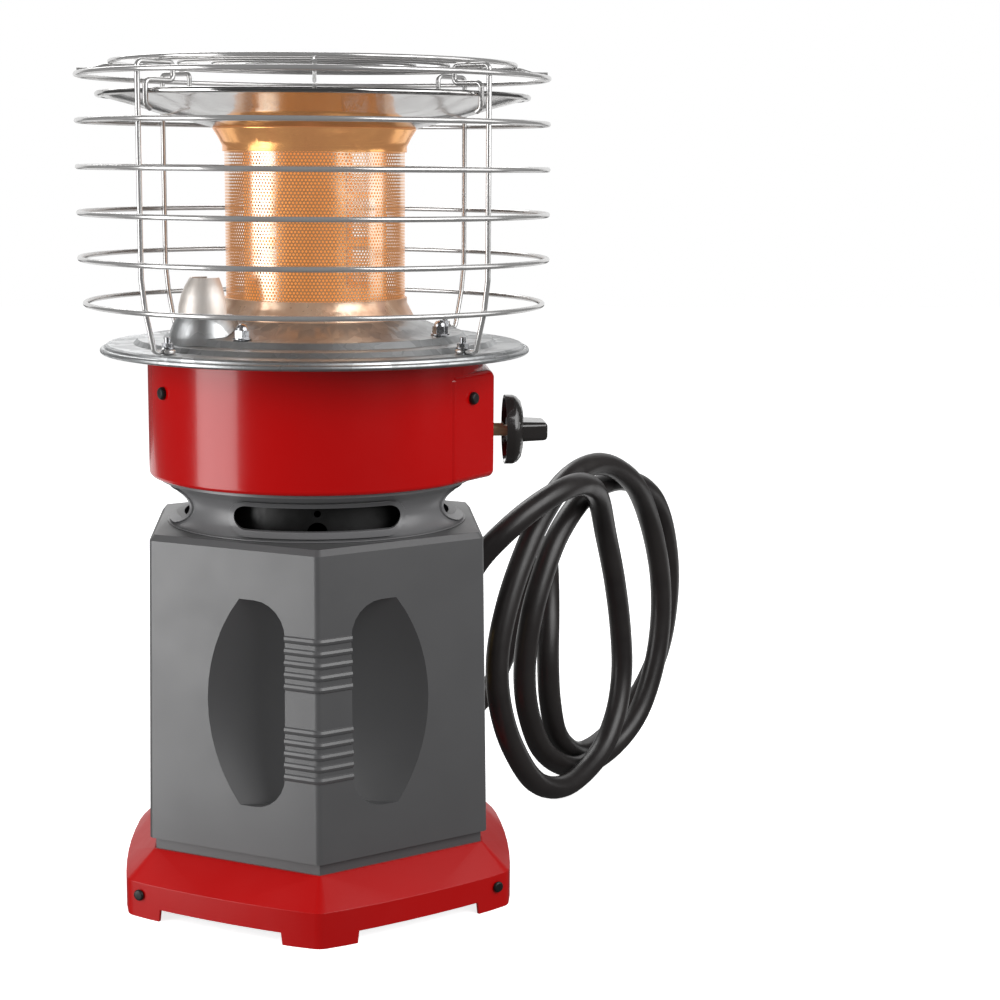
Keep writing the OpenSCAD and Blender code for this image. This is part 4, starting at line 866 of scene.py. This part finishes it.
# ---------------------------------------------------------------- hose
@dataclass
class Hose:
    """The gas hose: up behind the housing, four standing turns, and along the floor to its end.

    Attributes:
        diameter: its width.
        steps: pieces from one point of the route to the next.
        section_steps: how finely its round section is drawn.
        route_mm: the points of its centreline, the same as the CAD's.
    """

    diameter: float = 0.0185
    steps: int = 6
    section_steps: int = 7
    route_mm: tuple[Point, ...] = (
        (106, 99, 144), (106, 99, 168), (112, 96, 194), (125, 93, 218), (146, 94, 240),
        (170, 105, 257), (194, 125, 267), (214, 154, 266), (229, 186, 250), (241, 221, 212),
        (251, 236, 171), (258, 245, 127), (260, 246, 87), (253, 234, 52), (235, 210, 24),
        (204, 172, 11), (175, 136, 25), (153, 109, 63), (142, 101, 100), (140, 102, 137),
        (147, 108, 174), (160, 120, 210), (178, 139, 244), (203, 171, 269), (234, 206, 275),
        (265, 242, 255), (286, 278, 217), (300, 298, 165), (302, 302, 115), (294, 295, 72),
        (278, 282, 37), (251, 259, 15), (218, 223, 11), (188, 188, 34), (172, 166, 72),
        (167, 158, 111), (171, 156, 152), (181, 164, 188), (197, 182, 222), (223, 217, 247),
        (256, 261, 253), (286, 296, 239), (305, 323, 209), (315, 338, 162), (314, 341, 117),
        (305, 338, 77), (284, 328, 39), (255, 304, 14), (226, 265, 12), (202, 215, 40),
        (192, 190, 77), (189, 183, 114), (190, 192, 149), (192, 215, 177), (194, 248, 192),
        (195, 285, 191), (193, 319, 174), (186, 343, 143), (177, 352, 105), (166, 350, 72),
        (151, 347, 44), (127, 343, 22), (98, 338, 11), (66, 330, 13), (36, 325, 20), (15, 325, 20))

    def build(self) -> None:
        path = through([tuple(c * MM for c in p) for p in self.route_mm], self.steps)
        curve = bpy.data.curves.new("gas_hose", "CURVE")
        curve.dimensions = "3D"
        curve.bevel_depth = self.diameter / 2
        curve.bevel_resolution = self.section_steps
        curve.use_fill_caps = True
        line = curve.splines.new("POLY")
        line.points.add(len(path) - 1)
        for point, at in zip(line.points, path):
            point.co = (*at, 1)
        curve.materials.append(HOSE_RUBBER.material())
        piece = bpy.data.objects.new("gas_hose", curve)
        bpy.context.scene.collection.objects.link(piece)
        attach(piece, "heater")
        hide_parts("hose")
        fittings = {"hose_ferrules": BRASS, "regulator": GREY_CASTING, "coupling_nipple": BRASS,
                    "coupling_wheel": BLACK_PLASTIC}
        for node, finish in fittings.items():
            kept(node, finish)


# ---------------------------------------------------------------- base and housing
@dataclass
class Base:
    """The red base with its pan, screws and switch.

    Attributes:
        shell_edge: the well-rounded edges of the pressed shell.
    """

    shell_edge: Edge = Edge(1.4, 25, 3)

    def build(self) -> None:
        """Dresses the base's nodes."""
        refined("base_shell", "Base_shell", RED_POWDER, self.shell_edge)
        refined("base_screws", "Base_screws", BLACK_STEEL, SMALL_PART)
        kept("base_plate", ZINC_STEEL)
        kept("tip_switch", BLACK_PLASTIC)


@dataclass
class Housing:
    """The grey housing and its vent collar.

    Attributes:
        housing_edge: the moulded edges of the housing.
        collar_edge: the moulded edges of the collar.
    """

    housing_edge: Edge = Edge(0.9, 28, 3)
    collar_edge: Edge = Edge(0.8, 40, 3)

    def build(self) -> None:
        """Dresses the housing's nodes."""
        refined("housing", "Housing_moulding", GREY_MOULDING, self.housing_edge)
        # The collar's paler grey is painted light, standing in for light thrown up from the floor.
        refined("vent_collar", "Vent_collar", COLLAR_GREY_WITH_PAINTED_LIGHT, self.collar_edge)
        refined("heat_sleeve", "Heat_sleeve", BLACK_STEEL, SHARP)
        kept("housing_screws", ZINC_STEEL)
        kept("collar_screws", ZINC_STEEL)


# ---------------------------------------------------------------- drum, valve and knob
@dataclass
class Drum:
    """The red control drum with what it holds.

    Attributes:
        drum_edge: the folded edges of the drum.
        knob_edge: the moulded edges of the knob.
        elbow_edge: the forged edges of the inlet elbow.
    """

    drum_edge: Edge = Edge(0.6, 50)
    knob_edge: Edge = Edge(0.5, 40)
    elbow_edge: Edge = Edge(0.4)

    def build(self) -> None:
        """Dresses the drum, the valve and the knob."""
        refined("drum", "Control_drum", RED_ENAMEL, self.drum_edge)
        refined("drum_screws", "Drum_screws", BLACK_STEEL, SMALL_PART)
        refined("knob", "Control_knob", GLOSS_BLACK, self.knob_edge)
        # The stem's pale brass is a painted highlight.
        refined("valve_stem", "Valve_stem", STEM_BRASS_WITH_PAINTED_HIGHLIGHT, SMALL_PART)
        for node, finish in (
                ("mounting_skirt", ZINC_STEEL), ("valve_bracket", ZINC_STEEL),
                ("gas_valve", BRASS), ("valve_nut", BRASS), ("valve_plug", BRASS),
                ("supply_tube", ALUMINIUM_TUBE), ("orifice", BRASS), ("mixing_tube", ZINC_STEEL),
                ("pilot_tube", ALUMINIUM_TUBE), ("gas_pipe", ALUMINIUM_TUBE),
                ("inlet_nut", BRASS)):
            kept(node, finish)
        refined("inlet_elbow", "Inlet_elbow", BRASS, self.elbow_edge)


# ---------------------------------------------------------------- burner
@dataclass
class Burner:
    """The perforated burner with its skirt, flare, cage and pilot.

    Attributes:
        hole_pitch: distance from one perforation to the next.
        hole_share: how much of a cell's width its hole takes.
        first_row: height of the lowest cells over the screen's foot, in pitches.
        weld: corners of neighbouring cells this close become one.
        stand_edge: the pressed edges of the pilot stand.
        hood_edge: the thin edges of the pilot hood.
    """

    hole_pitch: float = 0.0025
    hole_share: float = 0.58
    first_row: float = 0.6
    weld: float = 0.00002
    stand_edge: Edge = Edge(0.8, 25)
    hood_edge: Edge = Edge(0.2, 45)

    def flat_grid(self, tree: Tree) -> Source:
        """Repeats the cell over a flat grid, with every other row shifted by half a cell.

        Args:
            tree: the screen's tree, whose inputs are the cell and the grid's sizes.

        Returns:
            The grid's geometry.
        """
        sizes = tree.nodes[0].outputs
        girth = add(tree, "ShaderNodeMath", {0: TURN, 1: sizes["Radius"]}, operation="MULTIPLY")
        step = add(tree, "ShaderNodeMath", {0: girth, 1: sizes["Across"]}, operation="DIVIDE")
        total = add(tree, "ShaderNodeMath", {0: sizes["Across"], 1: sizes["Rows"]},
                    operation="MULTIPLY")
        points = add(tree, "GeometryNodeMeshLine", {"Count": total}, mode="OFFSET")
        index = add(tree, "GeometryNodeInputIndex")
        rows = add(tree, "ShaderNodeMath", {0: index, 1: sizes["Across"]}, operation="DIVIDE")
        row = add(tree, "ShaderNodeMath", {0: rows}, operation="FLOOR")
        column = add(tree, "ShaderNodeMath", {0: index, 1: sizes["Across"]}, operation="MODULO")
        odd = add(tree, "ShaderNodeMath", {0: row, 1: 2.0}, operation="MODULO")
        shifted = add(tree, "ShaderNodeMath", {0: odd, 1: 0.5, 2: column},
                      operation="MULTIPLY_ADD")
        x = add(tree, "ShaderNodeMath", {0: shifted, 1: step}, operation="MULTIPLY")
        z = add(tree, "ShaderNodeMath", {0: row, 1: sizes["Row Step"]}, operation="MULTIPLY")
        flat = add(tree, "ShaderNodeCombineXYZ", {"X": x, "Z": z})
        grid = add(tree, "GeometryNodeSetPosition", {"Geometry": points, "Position": flat})
        cells = add(tree, "GeometryNodeInstanceOnPoints", {
            "Points": grid, "Instance": sizes["Geometry"]})
        return add(tree, "GeometryNodeRealizeInstances", {"Geometry": cells})

    def curled(self, tree: Tree, grid: Source) -> Source:
        """Bends the flat grid round the heater's axis and lifts it to its height.

        Args:
            tree: the screen's tree.
            grid: the flat grid.

        Returns:
            The bent grid's geometry.
        """
        sizes = tree.nodes[0].outputs
        here = add(tree, "GeometryNodeInputPosition")
        at = add(tree, "ShaderNodeSeparateXYZ", {0: here}).outputs
        angle = add(tree, "ShaderNodeMath", {0: at["X"], 1: sizes["Radius"]}, operation="DIVIDE")
        sine = add(tree, "ShaderNodeMath", {0: angle}, operation="SINE")
        cosine = add(tree, "ShaderNodeMath", {0: angle}, operation="COSINE")
        across = add(tree, "ShaderNodeMath", {0: sine, 1: sizes["Radius"]}, operation="MULTIPLY")
        deep = add(tree, "ShaderNodeMath", {0: cosine, 1: sizes["Radius"]}, operation="MULTIPLY")
        front = add(tree, "ShaderNodeMath", {0: deep, 1: -1.0}, operation="MULTIPLY")
        high = add(tree, "ShaderNodeMath", {0: at["Z"], 1: sizes["Foot"]}, operation="ADD")
        bent = add(tree, "ShaderNodeCombineXYZ", {"X": across, "Y": front, "Z": high})
        return add(tree, "GeometryNodeSetPosition", {"Geometry": grid, "Position": bent})

    def screen_tree(self) -> Tree:
        """Builds the tree that wraps a staggered grid of pierced cells round the burner.

        Returns:
            The tree.
        """
        tree = node_group("perforated screen", {
            "Radius": float, "Foot": float, "Across": int, "Rows": int, "Row Step": float})
        merged = add(tree, "GeometryNodeMergeByDistance", {
            "Geometry": self.flat_grid(tree), "Distance": self.weld})
        closed = add(tree, "GeometryNodeMergeByDistance", {
            "Geometry": self.curled(tree, merged), "Distance": self.weld})
        finish_group(tree, closed, HOT_SCREEN)
        return tree

    def cell(self, width: float) -> bpy.types.Mesh:
        """Makes one six-sided cell with a six-sided hole, upright in the XZ plane.

        Args:
            width: the cell's width across its flats.

        Returns:
            The cell's mesh.
        """
        outer = width / math.sqrt(3)
        corners = []
        for radius in (outer, outer * self.hole_share):
            for i in range(6):
                angle = math.radians(60 * i + 30)
                corners.append((radius * math.cos(angle), 0.0, radius * math.sin(angle)))
        faces = [(i, (i + 1) % 6, 6 + (i + 1) % 6, 6 + i) for i in range(6)]
        mesh = bpy.data.meshes.new("cell")
        mesh.from_pydata(corners, [], faces)
        return mesh

    def screen(self) -> None:
        """Makes the perforated cylinder."""
        low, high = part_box("burner_screen")
        radius = (high.x - low.x) / 2
        across = round(TURN * radius / self.hole_pitch)
        pitch = TURN * radius / across
        row_step = pitch * math.sqrt(3) / 2
        rows = int((high.z - low.z - pitch) / row_step)
        mesh = grown(self.cell(pitch), self.screen_tree(), {
            "Radius": radius, "Foot": low.z + pitch * self.first_row, "Across": across,
            "Rows": rows, "Row Step": row_step}, "Burner_screen")
        placed(mesh, "Burner_screen", HOT_SCREEN, "heater", "burner_screen")

    def build(self) -> None:
        """Builds the burner."""
        self.screen()
        refined("burner_frame", "Burner_cage", HOT_CAGE, SHARP)
        # The skirt's and the flare's glow is painted light, standing in for the burner's light on
        # them.
        refined("burner_skirt", "Burner_skirt", SKIRT_SHEET_WITH_PAINTED_GLOW, SMALL_PART)
        refined("burner_head", "Burner_flare", FLARE_SHEET_WITH_PAINTED_GLOW, SMALL_PART)
        kept("tie_rods", ZINC_STEEL)
        refined("tie_nuts", "Tie_nuts", ZINC_STEEL, SMALL_PART)
        refined("pilot_base", "Pilot_stand", GALVANISED_SHEET, self.stand_edge)
        refined("pilot_hood", "Pilot_hood", SATIN_STAINLESS, self.hood_edge)
        refined("pilot_burner", "Pilot_burner", BRASS, SMALL_PART)
        refined("thermocouple", "Thermocouple", ZINC_STEEL, SMALL_PART)
        refined("spark_electrode", "Spark_electrode", CERAMIC, SMALL_PART)


# ---------------------------------------------------------------- plate and reflector
@dataclass
class Dishes:
    """The dish plate under the burner and the reflector over it.

    Attributes:
        plate_edge: the pressed edges of the plate.
        reflector_edge: the reflector's edges, left sharp where they turn steeply.
        cap_nut_edge: the edges of the cap nuts.
    """

    plate_edge: Edge = Edge(0.8, 28, 3)
    reflector_edge: Edge = Edge(0, 50)
    cap_nut_edge: Edge = Edge(0.4)

    def build(self) -> None:
        """Dresses plate, reflector and their fixings."""
        refined("dish_plate", "Dish_plate", GALVANISED_SHEET, self.plate_edge)
        refined("reflector", "Reflector", POLISHED_STEEL, self.reflector_edge)
        refined("burner_studs", "Burner_cap_nuts", ZINC_STEEL, self.cap_nut_edge)
        refined("guard_studs", "Guard_screws", ZINC_STEEL, SMALL_PART)
        refined("guard_nuts", "Guard_nuts", ZINC_STEEL, SMALL_PART)


# ---------------------------------------------------------------- guard
@dataclass
class Guard:
    """The chromed wire guard: rings, four clip uprights and the top grille.

    Attributes:
        wire_r: radius of the guard's wire.
        ring_count: the guard's rings, with the lowest one.
        low_ring_r: radius of the lowest ring, which is drawn in.
        grille_wire_r: radius of the grille's wire.
        grille_r: radius of the grille's outermost ring.
        grille_pitch: distance from one ring of the grille to the next.
        grille_count: the grille's rings.
        arms: how many uprights, and spokes, stand round the axis.
        stud_r: distance of the guard's screws from the axis.
        eyelet_r: radius of the eyelet at an upright's foot.
        eyelet_deg: how far the eyelet goes round its screw.
        eyelet_step_deg: one piece of that turn.
        upright_bend: radius of the bends in an upright.
        spoke_bend: radius of the bends in a spoke.
        ring_sides: pieces of a ring.
        sides: faces round a wire.
        upright_mm: radius and height of each corner of an upright wire.
        spoke_mm: radius and height of each corner of a spoke.
    """

    wire_r: float = 0.0018
    ring_count: int = 6
    low_ring_r: float = 0.1601
    grille_wire_r: float = 0.0016
    grille_r: float = 0.14
    grille_pitch: float = 0.0235
    grille_count: int = 6
    arms: int = 4
    stud_r: float = 0.138
    eyelet_r: float = 0.0038
    eyelet_deg: int = 300
    eyelet_step_deg: int = 30
    upright_bend: float = 0.0036
    spoke_bend: float = 0.006
    ring_sides: int = 128
    sides: int = 12
    upright_mm: tuple[tuple[float, float], ...] = (
        (142, 395.5), (149.5, 395.5), (156.4, 421.8), (159.6, 443.8), (159.6, 583), (129.5, 583),
        (129.5, 571.4), (153, 571.4), (153, 555.4), (149, 552.9))
    spoke_mm: tuple[tuple[float, float], ...] = (
        (20.5, 584.04), (144, 584.04), (153, 581.35), (163.2, 581.35))

    def swept(self, tree: Tree, curve: Source) -> Source:
        """Sweeps the wire's round section along a curve.

        Args:
            tree: the tree, which has an input "Wire Radius".
            curve: the wire's centreline.

        Returns:
            The wire's geometry.
        """
        section = add(tree, "GeometryNodeCurvePrimitiveCircle", {
            "Resolution": self.sides, "Radius": tree.nodes[0].outputs["Wire Radius"]})
        return add(tree, "GeometryNodeCurveToMesh", {
            "Curve": curve, "Profile Curve": section, "Fill Caps": True})

    def ring_tree(self) -> Tree:
        """Builds the tree that sweeps a stack of rings, each with its own radius.

        Returns:
            The tree.
        """
        tree = node_group("rings", {
            "Radius": float, "Radius Step": float, "Top": float, "Height Step": float,
            "Count": int, "Wire Radius": float})
        sizes = tree.nodes[0].outputs
        circle = add(tree, "GeometryNodeCurvePrimitiveCircle", {
            "Resolution": self.ring_sides, "Radius": 1.0})
        line = add(tree, "GeometryNodeMeshLine", {"Count": sizes["Count"]}, mode="OFFSET")
        index = add(tree, "GeometryNodeInputIndex")
        radius = add(tree, "ShaderNodeMath", {
            0: index, 1: sizes["Radius Step"], 2: sizes["Radius"]}, operation="MULTIPLY_ADD")
        height = add(tree, "ShaderNodeMath", {
            0: index, 1: sizes["Height Step"], 2: sizes["Top"]}, operation="MULTIPLY_ADD")
        at = add(tree, "ShaderNodeCombineXYZ", {"Z": height})
        posts = add(tree, "GeometryNodeSetPosition", {"Geometry": line, "Position": at})
        rings = add(tree, "GeometryNodeInstanceOnPoints", {
            "Points": posts, "Instance": circle, "Scale": radius})
        real = add(tree, "GeometryNodeRealizeInstances", {"Geometry": rings})
        finish_group(tree, self.swept(tree, real), CHROME_WIRE_WITH_PAINTED_REFLECTION)
        return tree

    def turned_tree(self) -> Tree:
        """Builds the tree that sweeps a bent wire and repeats it round the heater's axis.

        Returns:
            The tree.
        """
        tree = node_group("wires round the axis", {
            "Count": int, "Start": float, "Wire Radius": float})
        sizes = tree.nodes[0].outputs
        bent = add(tree, "GeometryNodeMeshToCurve", {"Mesh": sizes["Geometry"]})
        middle = add(tree, "GeometryNodeMeshLine", {
            "Count": sizes["Count"], "Offset": (0.0, 0.0, 0.0)}, mode="OFFSET")
        index = add(tree, "GeometryNodeInputIndex")
        step = add(tree, "ShaderNodeMath", {0: TURN, 1: sizes["Count"]}, operation="DIVIDE")
        angle = add(tree, "ShaderNodeMath", {0: index, 1: step, 2: sizes["Start"]},
                    operation="MULTIPLY_ADD")
        spin = add(tree, "ShaderNodeCombineXYZ", {"Z": angle})
        copies = add(tree, "GeometryNodeInstanceOnPoints", {
            "Points": middle, "Instance": self.swept(tree, bent), "Rotation": spin})
        finish_group(tree, copies, CHROME_WIRE_WITH_PAINTED_REFLECTION)
        return tree

    def ring_mesh(self, name: str, count: int, radius: float, top: float, wire_r: float,
                  radius_step: float = 0.0, height_step: float = 0.0) -> bpy.types.Mesh:
        """Makes a stack of rings, counted from the topmost or outermost one.

        Args:
            name: the mesh's name.
            count: how many rings.
            radius: radius of the first ring.
            top: height of the first ring.
            wire_r: radius of the wire.
            radius_step: how much the radius grows from ring to ring.
            height_step: how much the height grows from ring to ring.

        Returns:
            The rings' mesh.
        """
        return grown(bpy.data.meshes.new("seed"), self.ring_tree(), {
            "Radius": radius, "Radius Step": radius_step, "Top": top, "Height Step": height_step,
            "Count": count, "Wire Radius": wire_r}, name)

    def turned_mesh(self, name: str, path: list[Vector], start: float,
                    wire_r: float) -> bpy.types.Mesh:
        """Makes a bent wire that is repeated round the heater's axis.

        Args:
            name: the mesh's name.
            path: the wire's centreline, on the -Y side.
            start: the angle of the first wire.
            wire_r: radius of the wire.

        Returns:
            The wires' mesh.
        """
        return grown(path_mesh(path), self.turned_tree(), {
            "Count": self.arms, "Start": start, "Wire Radius": wire_r}, name)

    def bent_path(self, corners_mm: tuple[tuple[float, float], ...], bend: float) -> list[Vector]:
        """Returns a wire's path through corners given as radius and height, on the -Y side."""
        return rounded([(0.0, -radius * MM, height * MM) for radius, height in corners_mm], bend)

    def upright_path(self) -> list[Vector]:
        """Runs one upright wire from its eyelet on the plate to the clip over the reflector's rim.

        Returns:
            The points of the wire's centreline.
        """
        foot = self.upright_mm[0][1] * MM
        turns = map(math.radians, range(self.eyelet_deg, -1, -self.eyelet_step_deg))
        eyelet = [Vector((self.eyelet_r * math.sin(turn),
                          -self.stud_r - self.eyelet_r * math.cos(turn), foot)) for turn in turns]
        return [*eyelet, *self.bent_path(self.upright_mm, self.upright_bend)]

    def rings(self) -> None:
        """Makes the guard rings; the lowest one is drawn in."""
        low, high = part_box("guard_rings")
        ring_r = (high.x - low.x) / 2 - self.wire_r
        top = high.z - self.wire_r
        step = (top - low.z - self.wire_r) / (self.ring_count - 1)
        upper = self.ring_mesh("Guard_rings", self.ring_count - 1, ring_r, top, self.wire_r,
                               height_step=-step)
        placed(upper, "Guard_rings", CHROME_WIRE_WITH_PAINTED_REFLECTION, "heater", "guard_rings")
        lowest = self.ring_mesh(
            "Guard_lowest_ring", 1, self.low_ring_r, low.z + self.wire_r, self.wire_r)
        placed(lowest, "Guard_lowest_ring", CHROME_WIRE_WITH_PAINTED_REFLECTION, "heater")

    def grille(self) -> None:
        """Makes the rings and the spokes of the top grille."""
        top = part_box("top_grille")[1].z - self.grille_wire_r
        rings = self.ring_mesh("Top_grille", self.grille_count, self.grille_r, top,
                               self.grille_wire_r, radius_step=-self.grille_pitch)
        placed(rings, "Top_grille", CHROME_WIRE_WITH_PAINTED_REFLECTION, "heater", "top_grille")
        path = self.bent_path(self.spoke_mm, self.spoke_bend)
        spokes = self.turned_mesh("Top_grille_spokes", path, 0.0, self.grille_wire_r)
        placed(spokes, "Top_grille_spokes", CHROME_WIRE_WITH_PAINTED_REFLECTION, "heater")

    def build(self) -> None:
        """Builds the guard on the CAD's own sizes."""
        self.rings()
        uprights = self.turned_mesh("Guard_uprights", self.upright_path(), TURN / 8, self.wire_r)
        placed(uprights, "Guard_uprights", CHROME_WIRE_WITH_PAINTED_REFLECTION, "heater", "guard_uprights")
        self.grille()


def main() -> None:
    """Builds the scene, sub-assembly by sub-assembly."""
    logging.basicConfig(level=logging.INFO, format="%(name)s: %(message)s")
    for assembly in (Studio, Hose, Base, Housing, Drum, Burner, Dishes, Guard):
        assembly().build()


if __name__ == "__main__":
    main()
